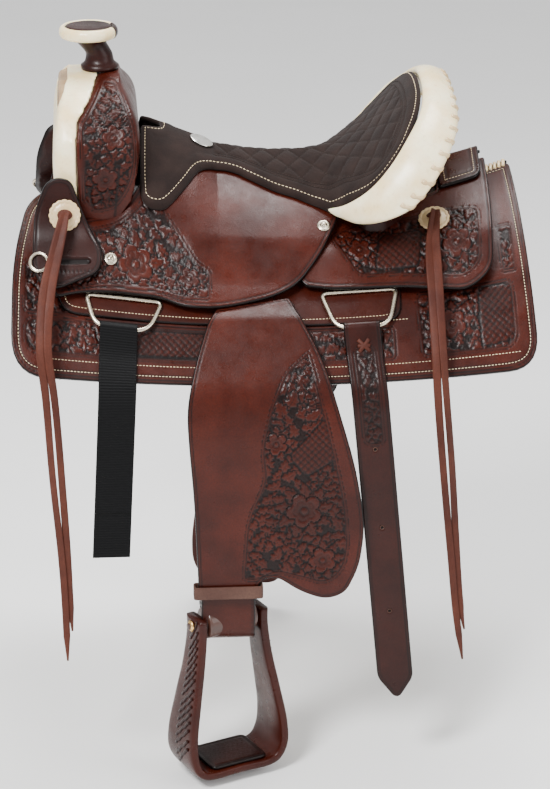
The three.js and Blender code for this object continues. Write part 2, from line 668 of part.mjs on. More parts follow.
// A strap looped over a dee, aside of its middle by offset, that hangs to bottomZ and leans back as it falls.
function hangingStrap(dee, side, { width, bottomZ, lean, pointed, offset = 0 }) {
  const { bow, along } = deeFrame(dee, side);
  const out = Math.abs(bow.y);
  const overSkirt = [252, 272, 292].map((s) => onBarrel(dee.x, s, dee.strapH, 1));
  const last = overSkirt[2];
  const below = [[last.y + 6, last.z - 22], [last.y + 7, last.z - 50], [last.y + 7, bottomZ]];
  const path = [[out, bow.z - 5], ...overSkirt.map((p) => [p.y, p.z]), ...below];
  const { place, length } = overProfile(path, side);
  const half = width / 2;
  const tip = [[-half, length - 28, 6], [0, length - 1, 3], [half, length - 28, 6]];
  const square = [[-half, length - 1, 3], [half, length - 1, 3]];
  const end = pointed ? tip : square;
  const body = toSolid(plate(outline([[-half, 0], ...end, [half, 0]]), place, 0, LEATHER, width, 36));
  const loop = toSolid(annulusX(side * out, bow.z, WIRE_R + 1, WIRE_R + 4.5, -half, half));
  const wire = new THREE.CylinderGeometry(WIRE_R + 1, WIRE_R + 1, 2 * width, 12);
  wire.rotateZ(Math.PI / 2).translate(0, side * out, bow.z);
  const strap = toGeometry(largest(body.add(loop).subtract(toSolid(wire))));
  const places = strap.attributes.position;
  const tilt = along.z / along.x;
  for (let i = 0; i < places.count; i++) {
    const [x, z] = [places.getX(i), places.getZ(i)];
    const fade = 1 - ease((bow.z - z) / 110);
    const aside = x + offset;
    places.setXYZ(i, dee.x + aside + lean * Math.max(bow.z - z, 0), places.getY(i), z + tilt * aside * fade);
  }
  return strap;
}

// ---------------------------------------------------------------- stirrup leathers, fenders, stirrups

// The crease where the leather turns down over the seat jockey's edge: s at x.
const creaseS = (x) => 204 - ((x + 95) * 24) / 100;
const LEG_START_S = 168;
const STIRRUP_BAR = { x: -45, s: 60, h: 47 };

function legPath(side) {
  const rows = [LEG_START_S, 195, 220, 245, 268, 290].map((s) => {
    const p = onBarrel(-45, s, LEG_H - (4 * (s - LEG_START_S)) / 122, 1);
    return [p.y, p.z];
  });
  const [y, z] = rows[rows.length - 1];
  const hang = [
    [y + 8, z - 26], [LEG_HANG_Y - 1, z - 58], [LEG_HANG_Y, z - 95],
    [LEG_HANG_Y, -330], [LEG_HANG_Y, BOLT_Z + side.shorter],
  ];
  return overProfile([...rows, ...hang], side.y);
}

// The leg's surface over x and q. The length a along it is q at the curved top, runs fast down the
// straight middle, and slowly near the bolt, where the leg turns with the stirrup.
function legSurface(side) {
  const { place, length } = legPath(side);
  const rollerY = LEG_HANG_Y - ROLLER_R - GAP;
  const warp = [[0, 0], [235, 235], [260, length - 70], [260 + 70 * 3, length]];
  const back = warp.map(([q, a]) => [a, q]);
  const turned = (x, q, h) => {
    const a = lookUp(warp, q);
    const p = place(x, a, h);
    const angle = STIRRUP_YAW * ease((a - (length - 32)) / 20);
    if (angle === 0) return p;
    const [dx, dy] = [x - NECK_X, side.y * p.y - rollerY];
    return new THREE.Vector3(
      NECK_X + dx * Math.cos(angle) + dy * Math.sin(angle),
      side.y * (rollerY + dy * Math.cos(angle) - dx * Math.sin(angle)),
      p.z,
    );
  };
  const atZ = (z) => lookUp(back, length - (z - BOLT_Z));
  return { place: turned, rollerY, end: lookUp(back, length), atZ };
}

const FENDER_GAP = 1.4;
const creaseA = (x, drop) => (creaseS(x) - LEG_START_S + drop) * ((BARREL_R + LEG_H) / BARREL_R);

// Hangs the finished pieces of a leg as far back as that leg has come to rest, about the stirrup bar.
function swingBack(side, names) {
  const bar = onBarrel(STIRRUP_BAR.x, STIRRUP_BAR.s, STIRRUP_BAR.h, side.y);
  const swing = new THREE.Matrix4()
    .makeTranslation(bar)
    .multiply(new THREE.Matrix4().makeRotationY(-side.swing))
    .multiply(new THREE.Matrix4().makeTranslation(bar.negate()));
  names.forEach((name) => saddle.getObjectByName(name + "_" + side.name).geometry.applyMatrix4(swing));
}

const LEG_PIECES = [
  "stirrup_leather_loop", "stirrup_leather", "fender", "hobble_strap", "stirrup", "stirrup_bolt",
  "stirrup_tread",
];

function buildLeg(side) {
  const { place, end, atZ, rollerY } = legSurface(side);
  const leatherEdge = outline([
    [-75, creaseA(-75, 2)], [-78, 140, 40],
    [NECK_X - NECK_HALF_W, atZ(-300), 60], [NECK_X - NECK_HALF_W, end],
    [NECK_X + NECK_HALF_W, end], [NECK_X + NECK_HALF_W, atZ(-300), 60],
    [-12, 140, 40], [-15, creaseA(-15, 2)],
  ]);
  const wrap = annulusX(0, 0, ROLLER_R + GAP, ROLLER_R + GAP + LEATHER, -NECK_HALF_W, NECK_HALF_W);
  const turn = new THREE.Matrix4().makeRotationZ(-side.y * STIRRUP_YAW);
  const atBolt = new THREE.Matrix4().makeTranslation(NECK_X, side.y * rollerY, BOLT_Z + side.shorter);
  wrap.applyMatrix4(turn).applyMatrix4(atBolt);
  const strap = toSolid(plate(leatherEdge, place, 0, LEATHER, 90, 24)).add(toSolid(wrap));
  const hollow = new THREE.CylinderGeometry(ROLLER_R + GAP, ROLLER_R + GAP, 120, 24).rotateZ(Math.PI / 2);
  hollow.applyMatrix4(turn).applyMatrix4(atBolt);
  add("stirrup_leather_" + side.name, toGeometry(largest(strap.subtract(toSolid(hollow)))), "leather");

  const fenderEdge = outline([
    [-93, creaseA(-93, 13)], [-104, 95, 30], [-130, atZ(-165), 30], [-128, atZ(-290), 60],
    [-119, atZ(-400), 30], [-119, atZ(FENDER_BOTTOM_Z), 3], [-42, atZ(FENDER_BOTTOM_Z), 3],
    [-41, atZ(-405), 16], [-14, atZ(-400), 16], [14, atZ(-424), 30], [56, atZ(-438), 30],
    [90, atZ(-400), 40], [98, atZ(-330), 60], [82, atZ(-240), 60], [50, atZ(-140), 60],
    [5, creaseA(5, 13)],
  ]);
  const fenderLow = LEATHER + FENDER_GAP;
  add("fender_" + side.name, plate(fenderEdge, place, fenderLow, fenderLow + LEATHER, 90, 24), "leather");

  const box = (x, low, high, r) => {
    const [from, to] = [side.y * low, side.y * high].sort((p, q) => p - q);
    return outline([[-80 - x, from, r], [-80 + x, from, r], [-80 + x, to, r], [-80 - x, to, r]]);
  };
  const shape = new THREE.Shape(box(45, -4, 15, 4));
  shape.holes.push(new THREE.Path(box(42, -1.5, 12.5, 2)));
  const hobble = new THREE.ExtrudeGeometry(shape, { depth: 18, bevelEnabled: false });
  hobble.translate(0, side.y * LEG_HANG_Y, HOBBLE_Z + side.shorter);
  add("hobble_strap_" + side.name, hobble, "edge");

  const loopTop = (x, s) => 36.5 + 12 * (1 - ease((s - BAR_EDGE_S) / 63));
  const loopEdge = outline([[-75, 58, 6], [-75, creaseS(-75) - 4], [-15, creaseS(-15) - 4], [-15, 58, 6]]);
  const loop = plate(loopEdge, barrelPlace(side.y), (x, s) => loopTop(x, s) - LEATHER, loopTop, 50, 24);
  add("stirrup_leather_loop_" + side.name, loop, "leather");

  buildStirrup(side, atBolt, turn);
  swingBack(side, LEG_PIECES);
}

// Half of the stirrup seen from behind: x, z and its depth there.
const STIRRUP_PATH = [
  [-45, 10, 40], [-45, -10, 40], [-50, -55, 46], [-59, -105, 58], [-67, -155, 70],
  [-66, -184, TREAD_DEPTH], [-58, -200, TREAD_DEPTH], [-47, -206, TREAD_DEPTH], [0, -206, TREAD_DEPTH],
];
const STIRRUP_WALL = 13;

function buildStirrup(side, atBolt, turn) {
  const rows = [...STIRRUP_PATH, ...STIRRUP_PATH.slice(0, -1).reverse().map(([x, z, d]) => [-x, z, d])];
  const rings = rows.map(([x, z, depth], k) => {
    const [ax, az] = rows[Math.max(k - 1, 0)];
    const [bx, bz] = rows[Math.min(k + 1, rows.length - 1)];
    const along = new THREE.Vector3(bx - ax, 0, bz - az).normalize();
    const thick = new THREE.Vector3(-along.z, 0, along.x);
    const [t, d, c] = [STIRRUP_WALL / 2, depth / 2, 3];
    const corners = [[t, d - c], [t - c, d], [c - t, d], [-t, d - c], [-t, c - d], [c - t, -d], [t - c, -d],
      [t, c - d]];
    return corners.map(([p, q]) => new THREE.Vector3(x, q, z).addScaledVector(thick, p));
  });
  const bore = new THREE.CylinderGeometry(5.5, 5.5, 140, 20).rotateZ(Math.PI / 2);
  const frame = toGeometry(toSolid(loft(rings)).subtract(toSolid(bore)));
  const place = (geometry) => geometry.applyMatrix4(turn).applyMatrix4(atBolt);
  add("stirrup_" + side.name, place(frame), "leather");
  const spoolEnd = NECK_HALF_W;
  const bolt = lathe([[0, -57], [5, -57], [5, -spoolEnd], [ROLLER_R, -spoolEnd], [ROLLER_R, spoolEnd],
    [5, spoolEnd], [5, 57], [0, 57]], 16);
  add("stirrup_bolt_" + side.name, place(bolt.rotateY(Math.PI / 2)), "wood");
  const tread = new THREE.BoxGeometry(82, TREAD_DEPTH - 4, 4).translate(0, 0, -206 + STIRRUP_WALL / 2 + 2.5);
  add("stirrup_tread_" + side.name, place(tread), "leather");
}

// ---------------------------------------------------------------- trim: keepers, screws, plate, strings

const KEEPER_PATH = [[132, 100], [135, 62], [147, 27], [172, -1], [198, -24], [208, -34]];

function keeperSurface(side) {
  return overProfile(KEEPER_PATH, side);
}

function buildTrim(side) {
  const keeper = keeperSurface(side.y);
  const keeperEdge = outline([
    [-289, 0, 8], [-270, 4, 14], [-256, 47, 20], [-232, 102, 12], [-236, 132, 14],
    [-290, 155, 20], [-311, 150, 14], [-322, 122, 30], [-318, 45, 30], [-303, 8, 14],
  ]);
  add("latigo_keeper_" + side.name, plate(keeperEdge, keeper.place, 2, 2 + LEATHER, 50, 24), "leather");

  const scallops = new THREE.Shape(
    Array.from({ length: 32 }, (_, k) => {
      const angle = (k / 32) * 2 * Math.PI;
      const r = 19.4 + 0.9 * Math.cos(16 * angle);
      return new THREE.Vector2(r * Math.cos(angle), r * Math.sin(angle));
    }),
  );
  const rosette = () => new THREE.ExtrudeGeometry(scallops, { depth: 4, bevelEnabled: false });
  const onKeeper = (x, a) => keeper.place(x, a, 2 + LEATHER);
  const onSeatJockey = (x, s) => onBarrel(x, s, jockeyTop(x, s), side.y);
  const onRearJockey = (x, s) => onBarrel(x, s, rearJockeyTop(x, s), side.y);
  stand(add("rosette_front_" + side.name, rosette(), "rawhide"), onKeeper, -279, 50, 2.5, side.y);
  stand(add("rosette_rear_" + side.name, rosette(), "rawhide"), onRearJockey, 200, 92, 1.5, side.y);

  const screw = () => lathe([[0, 0], [8, 0], [8, 1.2], [4.5, 2], [4, 3.6], [0, 4.6]], 12);
  stand(add("jockey_screw_front_" + side.name, screw(), "metal"), onSeatJockey, -222, 148, 2.2, side.y);
  stand(add("jockey_screw_rear_" + side.name, screw(), "metal"), onSeatJockey, 55, 94, 1.8, side.y);
}

// The strings hang from the rosettes. Points are x, distance out, z.
const FRONT_STRING = [
  [-279, 160, 54], [-284, 171, 39], [-293, 193, 12], [-303, 226, -24], [-309, 263, -85],
  [-303, 275, -150], [-297, 277, -258], [-290, 277, -370], [-286, 277, -512],
];
const REAR_STRING = [
  [200, 116, 37], [197, 130, 26], [193, 151, 9], [191, 178, -12], [191, 213, -50], [191, 255, -106],
  [194, 271, -164], [204, 273, -273], [213, 273, -372], [221, 273, -458], [232, 273, -529],
];
const STRING_R = 4;
const STRING_SIDES = 8;
const STRING_STEPS = 26;
const FAR_STRING_END_Z = -325;

// The points of a string down to endZ, with a last point there.
function cutAt(points, endZ) {
  const below = points.findIndex(([, , z]) => z < endZ);
  const [a, b] = [points[below - 1], points[below]];
  const t = (a[2] - endZ) / (a[2] - b[2]);
  return [...points.slice(0, below), a.map((v, k) => v + (b[k] - v) * t)];
}

function string(points, side) {
  const kept = side < 0 ? points : cutAt(points, FAR_STRING_END_Z);
  const spots = kept.map(([x, y, z]) => new THREE.Vector3(x, side * y, z));
  const route = new THREE.CatmullRomCurve3(spots, false, "centripetal");
  const corners = Array.from({ length: STRING_SIDES }, (_, k) => {
    const turn = (2 * Math.PI * k) / STRING_SIDES;
    return new THREE.Vector2(Math.cos(turn), Math.sin(turn)).multiplyScalar(STRING_R);
  });
  const settings = { steps: STRING_STEPS, extrudePath: route, bevelEnabled: false };
  return new THREE.ExtrudeGeometry(new THREE.Shape(corners), settings);
}

// Where the plate sits on the seat, and how far it stands off so that its flat back clears the curve.
const BADGE_AT = [-98, -14];
const BADGE_LIFT = 2.2;

function seatPlate() {
  const oval = new THREE.Shape().absellipse(0, 0, 15.5, 11, 0, 2 * Math.PI);
  return new THREE.ExtrudeGeometry(oval, { depth: 1.5, bevelEnabled: false, curveSegments: 16 });
}

// ---------------------------------------------------------------- the saddle

buildFork();
buildHorn();
const rollGeometry = cantleRoll();
buildSeat(toSolid(rollGeometry));
add("cantle_roll_rawhide", rollGeometry, "rawhide");
for (const side of SIDES) {
  add("tree_bar_" + side.name, treeBar(side.y), "wood");
}

for (const side of SIDES) {
  buildLeather(side);
  buildLeg(side);
  buildTrim(side);
  add("front_dee_" + side.name, deeRing(FRONT_DEE, side.y), "metal");
  add("rear_dee_" + side.name, deeRing(REAR_DEE, side.y), "metal");
  add("flank_billet_" + side.name, hangingStrap(REAR_DEE, side.y, BILLETS[side.name]), "leather");
  add("string_front_" + side.name, string(FRONT_STRING, side.y), "leather");
  add("string_rear_" + side.name, string(REAR_STRING, side.y), "leather");
}
add("latigo_near", hangingStrap(FRONT_DEE, -1, LATIGO), "nylon");
add("off_billet_far", hangingStrap(FRONT_DEE, 1, OFF_BILLET), "leather");
add("rear_bridge", rearBridge(), "leather");
const badge = add("seat_plate", seatPlate(), "metal");
const [badgeX, badgeY] = BADGE_AT;
const slopeX = seatTop(badgeX - 10, badgeY) - seatTop(badgeX + 10, badgeY);
const slopeY = seatTop(badgeX, badgeY - 10) - seatTop(badgeX, badgeY + 10);
badge.position.set(badgeX, badgeY, seatTop(badgeX, badgeY) + BADGE_LIFT);
const plateUp = new THREE.Vector3(slopeX, slopeY, 20).normalize();
badge.quaternion.setFromUnitVectors(new THREE.Vector3(0, 0, 1), plateUp);

export default saddle;
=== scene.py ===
"""A western roping saddle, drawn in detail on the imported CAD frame.

Lengths are in millimetres until a mesh is made. +Z is up, the horse's head is towards -X and the
near side is at -Y. The surfaces repeat those of the CAD part, because this file can't read it."""
import math

import bpy
import numpy as np
from mathutils import Matrix, Vector
from mathutils.geometry import delaunay_2d_cdt
from mathutils.kdtree import KDTree


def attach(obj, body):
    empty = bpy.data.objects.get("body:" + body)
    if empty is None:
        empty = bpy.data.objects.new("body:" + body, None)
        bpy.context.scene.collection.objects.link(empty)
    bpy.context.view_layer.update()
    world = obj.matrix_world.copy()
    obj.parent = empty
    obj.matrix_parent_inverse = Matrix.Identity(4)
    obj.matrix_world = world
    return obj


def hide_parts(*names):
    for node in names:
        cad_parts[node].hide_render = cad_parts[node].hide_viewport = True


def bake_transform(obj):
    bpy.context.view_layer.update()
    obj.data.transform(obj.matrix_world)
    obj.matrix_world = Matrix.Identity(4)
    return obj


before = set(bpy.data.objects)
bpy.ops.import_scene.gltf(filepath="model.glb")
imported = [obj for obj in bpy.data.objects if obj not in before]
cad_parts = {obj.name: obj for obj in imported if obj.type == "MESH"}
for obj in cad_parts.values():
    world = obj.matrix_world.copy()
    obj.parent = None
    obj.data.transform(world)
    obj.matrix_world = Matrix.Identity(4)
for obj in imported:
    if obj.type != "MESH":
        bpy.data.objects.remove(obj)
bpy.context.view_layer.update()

MM = 0.001
FINE = 1.0  # multiplies every mesh step
PI = math.pi

# ------------------------------------------------------------------ camera


def make_camera():
    azimuth, elevation, distance = math.radians(-4), math.radians(20.5), 3.8
    back = Vector((math.sin(azimuth) * math.cos(elevation), -math.cos(azimuth) * math.cos(elevation),
                   math.sin(elevation)))
    data = bpy.data.cameras.new("camera")
    data.sensor_width, data.lens = 36, 126.6
    camera = bpy.data.objects.new("camera", data)
    camera.location = Vector((0, 0, -0.253)) + back * distance
    camera.rotation_mode = "QUATERNION"
    camera.rotation_quaternion = (-back).to_track_quat("-Z", "Y")
    bpy.context.collection.objects.link(camera)
    bpy.context.scene.camera = camera


make_camera()

# ------------------------------------------------------------------ the surfaces of the CAD part

BARREL_R, CREST, SKIRT_DROP = 395, math.radians(14), 303
SEAT_CENTRE = np.array([
    [-200, 150], [-165, 140], [-145, 131], [-106, 116], [-80, 104], [-40, 97], [-7, 94],
    [33, 94], [64, 98], [90, 106], [120, 126], [150, 156], [176, 184], [192, 194]])
RIM_INNER = np.array([[64, 112, 42], [84, 134, 53], [112, 153, 77], [138, 154, 107], [163, 137, 141],
                      [183, 102, 166],
                      [191, 60, 183], [192, 0, 194]])
RIM_OUTER = np.array([[78, 126, 36], [98, 156, 36], [127, 176, 45], [161, 181, 62], [186, 178, 89],
                      [207, 160, 118],
                      [228, 110, 153], [228, 0, 184]])


def ease(u):
    c = np.clip(u, 0, 1)
    return c * c * (3 - 2 * c)


def pulse(u, centre, half):
    return np.exp(-(((u - centre) / half) ** 2))


def barrel(side):
    def place(x, s, h):
        t = CREST + s / BARREL_R
        y = (BARREL_R + h) * np.sin(t) - BARREL_R * math.sin(CREST)
        rocker = 50 * ((x - 20) / 291) ** 2 * (1 - 0.75 * s / SKIRT_DROP)
        z = (BARREL_R + h) * np.cos(t) - BARREL_R * math.cos(CREST) + rocker
        return np.stack(np.broadcast_arrays(x, side * y, z), -1)

    return place


NEAR = barrel(-1)


def height_over(x, y, h):
    s = np.zeros_like(np.asarray(y, float) + x)
    for _ in range(6):
        top = h(x, s)
        s = BARREL_R * (np.arcsin((np.abs(y) + BARREL_R * math.sin(CREST)) / (BARREL_R + top)) - CREST)
    return barrel(1)(x, s, top)[..., 2]


def leg_zone(x):
    return ease((x + 150) / 40) - ease((x - 15) / 45)


def jockey_base(x, s):
    outer = 42 + 4 * ease((x + 150) / 40) + 2 * ease((x - 15) / 45)
    inner = 53 + 6 * leg_zone(x)
    return outer + (inner - outer) * (1 - ease((s - 108) / 63))


def jockey_top(x, s):
    at = np.minimum(x, 70.0)
    bare = height_over(at, np.zeros_like(at), jockey_base)
    rise = np.maximum(np.interp(at, SEAT_CENTRE[:, 0], SEAT_CENTRE[:, 1]) - 9 - bare,
                      0) * ease((x + 235) / 45)
    return jockey_base(x, s) + rise * (1 - ease((s + 18) / 175))


def rear_jockey_top(x, s):
    return 42 + 6.5 * (1 - ease((s - 114) / 52))


def seat_top(x, y):
    dish = ease((x - 40) / 50)
    front = height_over(x, y, jockey_top) + 9
    centre = np.interp(x, SEAT_CENTRE[:, 0], SEAT_CENTRE[:, 1])
    fall = centre - np.interp(x, RIM_INNER[:, 0], RIM_INNER[:, 2])
    across = np.abs(y) / np.interp(x, RIM_INNER[:, 0], RIM_INNER[:, 1])
    return front * (1 - dish) + (centre - fall * across ** 2.2) * dish


def upright(x, y, z):
    return np.stack(np.broadcast_arrays(x, y, z), -1)


def smooth_line(points, count, closed=False):
    """Points evenly spaced along a centripetal Catmull-Rom spline."""
    p = np.asarray(points, float)
    n = len(p)
    if closed:
        p = np.vstack([p[-1], p, p[0], p[1]])
    else:
        p = np.vstack([2 * p[0] - p[1], p, 2 * p[-1] - p[-2]])
    out = []
    for k in range(1, len(p) - 2):
        a, b, c, d = p[k - 1:k + 3]
        t1 = max(np.linalg.norm(b - a), 1e-6) ** 0.5
        t2 = t1 + max(np.linalg.norm(c - b), 1e-6) ** 0.5
        t3 = t2 + max(np.linalg.norm(d - c), 1e-6) ** 0.5
        t = np.linspace(t1, t2, 24, endpoint=False)[:, None]
        ab, bc, cd = a + (b - a) * t / t1, b + (c - b) * (t - t1) / (t2 - t1), c + (d - c) * (t
                - t2) / (t3 - t2)
        abc, bcd = ab + (bc - ab) * t / t2, bc + (cd - bc) * (t - t1) / (t3 - t1)
        out.append(abc + (bcd - abc) * (t - t1) / (t2 - t1))
    line = np.vstack(out + [p[1:2] if closed else p[-2:-1]])
    return even(line, count=count, closed=closed)


def reach_along(line):
    """The length along a polyline at each of its points."""
    return np.concatenate([[0], np.cumsum(np.linalg.norm(np.diff(line, axis=0), axis=1))])


def even(line, step=None, count=None, closed=False):
    """A polyline resampled to equal steps. A closed one repeats no point."""
    line = np.asarray(line, float)
    if closed and np.linalg.norm(line[0] - line[-1]) > 1e-6:
        line = np.vstack([line, line[:1]])
    reach = reach_along(line)
    n = count or max(int(round(reach[-1] / step)), 3)
    at = np.linspace(0, reach[-1], n, endpoint=not closed)
    return np.stack([np.interp(at, reach, line[:, k]) for k in range(line.shape[1])], 1)


class Profile:
    """A surface that runs straight along X over a curve in (y, z): place(x, a, h), a along the curve."""

    def __init__(self, points, side):
        self.line = smooth_line(points, 800)
        self.reach = reach_along(self.line)
        self.length, self.side = self.reach[-1], side
        self.way = np.gradient(self.line, axis=0)
        self.way /= np.linalg.norm(self.way, axis=1)[:, None]

    def __call__(self, x, a, h):
        y, z = (np.interp(a, self.reach, self.line[:, k]) for k in (0, 1))
        ty, tz = (np.interp(a, self.reach, self.way[:, k]) for k in (0, 1))
        return np.stack(np.broadcast_arrays(x, self.side * (y - tz * h), z + ty * h), -1)

    def at_z(self, z):
        """The length at which the falling curve passes z."""
        return float(np.interp(-z, -self.line[:, 1], self.reach))


# ------------------------------------------------------------------ meshes


def vectors(mesh, key="co"):
    """The places (or normals) of a mesh's vertices."""
    flat = np.empty(len(mesh.vertices) * 3, np.float32)
    mesh.vertices.foreach_get(key, flat)
    return flat.reshape(-1, 3)


def put_back(mesh, co):
    mesh.vertices.foreach_set("co", co.astype(np.float32).ravel())
    mesh.update()


def add_mesh(name, verts, faces, body, slot, material, fields=None, replaces=(), smooth=True):
    mesh = bpy.data.meshes.new(name)
    mesh.from_pydata((np.asarray(verts) * MM).tolist(), [], faces)
    mesh.materials.append(material)
    if smooth:
        mesh.shade_smooth()
    for key, values in (fields or {}).items():
        mesh.attributes.new(key, "FLOAT", "POINT").data.foreach_set("value",
                np.asarray(values, np.float32))
    obj = bpy.data.objects.new(name, mesh)
    bpy.context.collection.objects.link(obj)
    if body:
        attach(obj, body)
    if replaces:
        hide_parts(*replaces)
    return obj


def rounded(points, arc=8):
    """A closed outline from (u, v[, corner radius]) points."""
    p = [(*q, 0)[:3] for q in points]
    out = []
    for k, (x, y, r) in enumerate(p):
        here = np.array([x, y], float)
        back, on = np.array(p[k - 1][:2]) - here, np.array(p[(k + 1) % len(p)][:2]) - here
        reach = min(r, np.linalg.norm(back) * 0.48, np.linalg.norm(on) * 0.48)
        if reach <= 0:
            out.append(here)
            continue
        start, end = here + back / np.linalg.norm(back) * reach, here + on / np.linalg.norm(on) * reach
        t = np.linspace(0, 1, arc)[:, None]
        out.extend((1 - t) ** 2 * start + 2 * t * (1 - t) * here + t ** 2 * end)
    return np.array(out)


def signed_area(p):
    q = np.roll(p, -1, 0)
    return 0.5 * np.sum(p[:, 0] * q[:, 1] - q[:, 0] * p[:, 1])


def inside(p, poly):
    a, b = poly, np.roll(poly, -1, 0)
    hit = np.zeros(len(p), bool)
    for (x1, y1), (x2, y2) in zip(a, b):
        if y1 == y2:
            continue
        cross = (y1 > p[:, 1]) != (y2 > p[:, 1])
        hit ^= cross & (p[:, 0] < (x2 - x1) * (p[:, 1] - y1) / (y2 - y1) + x1)
    return hit


def rim_distance(p, poly):
    a, b = poly, np.roll(poly, -1, 0)
    best = np.full(len(p), 1e9)
    for s, e in zip(a, b):
        d = e - s
        t = np.clip(((p - s) @ d) / max(d @ d, 1e-12), 0, 1)
        best = np.minimum(best, ((p - s - t[:, None] * d) ** 2).sum(1))
    return np.sqrt(best)


def inset(rim, reach):
    """The outline moved inwards; points that would land too near the rim are dropped."""
    way = np.roll(rim, -1, 0) - np.roll(rim, 1, 0)
    normal = np.stack([-way[:, 1], way[:, 0]], 1) / np.linalg.norm(way, axis=1)[:, None]
    moved = rim + normal * reach
    return moved[rim_distance(moved, rim) > 0.93 * reach]


def triangulate(rim, inner):
    points = np.vstack([rim, inner])
    made = delaunay_2d_cdt([Vector(p) for p in points.tolist()], [], [list(range(len(rim)))], 1, 1e-4)
    return np.array([v[:] for v in made[0]]), [list(f) for f in made[2]]


def grid_inside(rim, step, clear):
    lo, hi = rim.min(0), rim.max(0)
    x, y = np.meshgrid(np.arange(lo[0], hi[0], step), np.arange(lo[1], hi[1], step))
    x = x + 0.25 * step * (np.arange(len(x)) % 2)[:, None]
    p = np.stack([x.ravel(), y.ravel()], 1)
    p = p[inside(p, rim)]
    return p[rim_distance(p, rim) > clear]


def panel(name, edge, place, low, high, step, body, slot, material, relief=None, round_r=1.6,
          replaces=()):
    """A leather plate: a fine top with its relief and rounded edge, a wall, and a plain coarse underside."""
    step *= FINE
    rim = even(edge, step=step, closed=True)
    if signed_area(rim) < 0:
        rim = rim[::-1]
    inner = np.vstack([inset(rim, 0.4 * round_r), inset(rim, round_r),
                       grid_inside(edge, step, round_r + 0.5 * step)])
    top, top_faces = triangulate(rim, inner)
    under, under_faces = triangulate(rim, grid_inside(edge, 5 * step, 3 * step))
    n = len(rim)
    d = rim_distance(top, edge)
    d[:n] = 0
    lift, tone = relief(top[:, 0], top[:, 1], d) if relief else (0 * d, 0 * d)
    near = np.clip(1 - d / round_r, 0, 1)
    as_function = lambda h: h if callable(h) else lambda u, v: h + 0 * u
    top_h = as_function(high)(top[:, 0], top[:, 1]) + lift - round_r * (1 - np.sqrt(1 - near ** 2))
    under_h = as_function(low)(under[:, 0], under[:, 1])
    verts = np.vstack([place(top[:, 0], top[:, 1], top_h), place(under[:, 0], under[:, 1], under_h)])
    m = len(top)
    faces = top_faces + [[c + m, b + m, a + m] for a, b, c in under_faces]
    faces += [[(i + 1) % n, i, i + m, (i + 1) % n + m] for i in range(n)]
    c = top.mean(0)
    o, du, dv, dh = (place(*np.array([c[0] + i, c[1] + j, k], float)) for i, j,
                     k in ((0, 0, 0), (1, 0, 0), (0, 1, 0), (0, 0, 1)))
    if np.dot(np.cross(du - o, dv - o), dh - o) < 0:
        faces = [f[::-1] for f in faces]
    edge = np.concatenate([np.clip(1.25 - d / 2.2, 0, 1), np.zeros(len(under))])
    edge[m:m + n] = 1
    fields = {"tone": np.concatenate([tone, np.zeros(len(under))]), "edge": edge}
    return add_mesh(name, verts, faces, body, slot, material, fields, replaces)


def loft(rings, closed=False, caps=True):
    """Vertices and faces of a tube through rings (m, n, 3)."""
    m, n = rings.shape[:2]
    index = np.arange(m * n).reshape(m, n)
    on = np.roll(index, -1, 1)
    rows = range(m if closed else m - 1)
    faces = [[int(index[k][i]), int(on[k][i]), int(on[(k + 1) % m][i]),
              int(index[(k + 1) % m][i])] for k in rows for i in range(n)]
    if caps and not closed:
        faces += [index[0][::-1].tolist(), index[-1].tolist()]
    verts = rings.reshape(-1, 3)
    a, b, c = (verts[np.array([f[k] for f in faces])] for k in (0, 1, 2))
    if np.einsum("ij,ij->i", a, np.cross(b, c)).sum() < 0:
        faces = [f[::-1] for f in faces]
    return verts, faces


def frames(line, up, closed=False):
    """Tangent, side and normal along a polyline, with the normal kept near up."""
    way = (np.roll(line, -1, 0) - np.roll(line, 1, 0)) if closed else np.gradient(line, axis=0)
    way /= np.linalg.norm(way, axis=1)[:, None]
    up = np.broadcast_to(np.asarray(up, float), line.shape)
    side = np.cross(way, up)
    side /= np.linalg.norm(side, axis=1)[:, None]
    return way, side, np.cross(side, way)


def tube(line, half_w, half_t, up, sides=10, closed=False, power=1.0):
    """An oval tube along a polyline: half_w across it, half_t towards up."""
    _, side, normal = frames(line, up, closed)
    angle = np.linspace(0, 2 * PI, sides, endpoint=False)
    c, s = np.cos(angle), np.sin(angle)
    c, s = np.sign(c) * np.abs(c) ** power, np.sign(s) * np.abs(s) ** power
    half_w, half_t = (np.broadcast_to(np.asarray(v, float), len(line))[:, None, None] for v in (half_w,
            half_t))
    rings = line[:, None] + half_w * c[None, :, None] * side[:, None] + half_t * s[None, :,
            None] * normal[:, None]
    return loft(rings, closed)


def join(parts):
    verts, faces, base = [], [], 0
    for v, f in parts:
        verts.append(v)
        faces += [[i + base for i in face] for face in f]
        base += len(v)
    return np.vstack(verts), faces


def lathe(profile, sides=64):
    """A turned solid about Z from (r, z) points that start and end on the axis."""
    p = np.array([q for q in profile if q[0] > 1e-6], float)
    angle = np.linspace(0, 2 * PI, sides, endpoint=False)
    rings = np.stack([p[:, :1] * np.cos(angle), p[:, :1] * np.sin(angle),
                      np.repeat(p[:, 1:], sides, 1)], -1)
    return loft(rings)


def standing(verts, foot, normal, turn=0.0):
    """Vertices made along +Z, stood at foot along normal."""
    spin = Vector((0, 0, 1)).rotation_difference(Vector(normal)).to_matrix() @ Matrix.Rotation(turn, 3,
            "Z")
    return verts @ np.array(spin).T + np.asarray(foot)


def surface_normal(place, u, v, h=0.0):
    o, du, dv, dh = (place(*np.array([u + i, v + j, h + k], float)) for i, j,
                     k in ((0, 0, 0), (2, 0, 0), (0, 2, 0), (0, 0, 1)))
    n = np.cross(du - o, dv - o)
    n /= np.linalg.norm(n)
    return n if np.dot(n, dh - o) > 0 else -n


CAPSULE = lathe([(0, -1), (0.6, -0.85), (1, -0.4), (1, 0.4), (0.6, 0.85), (0, 1)], 6)


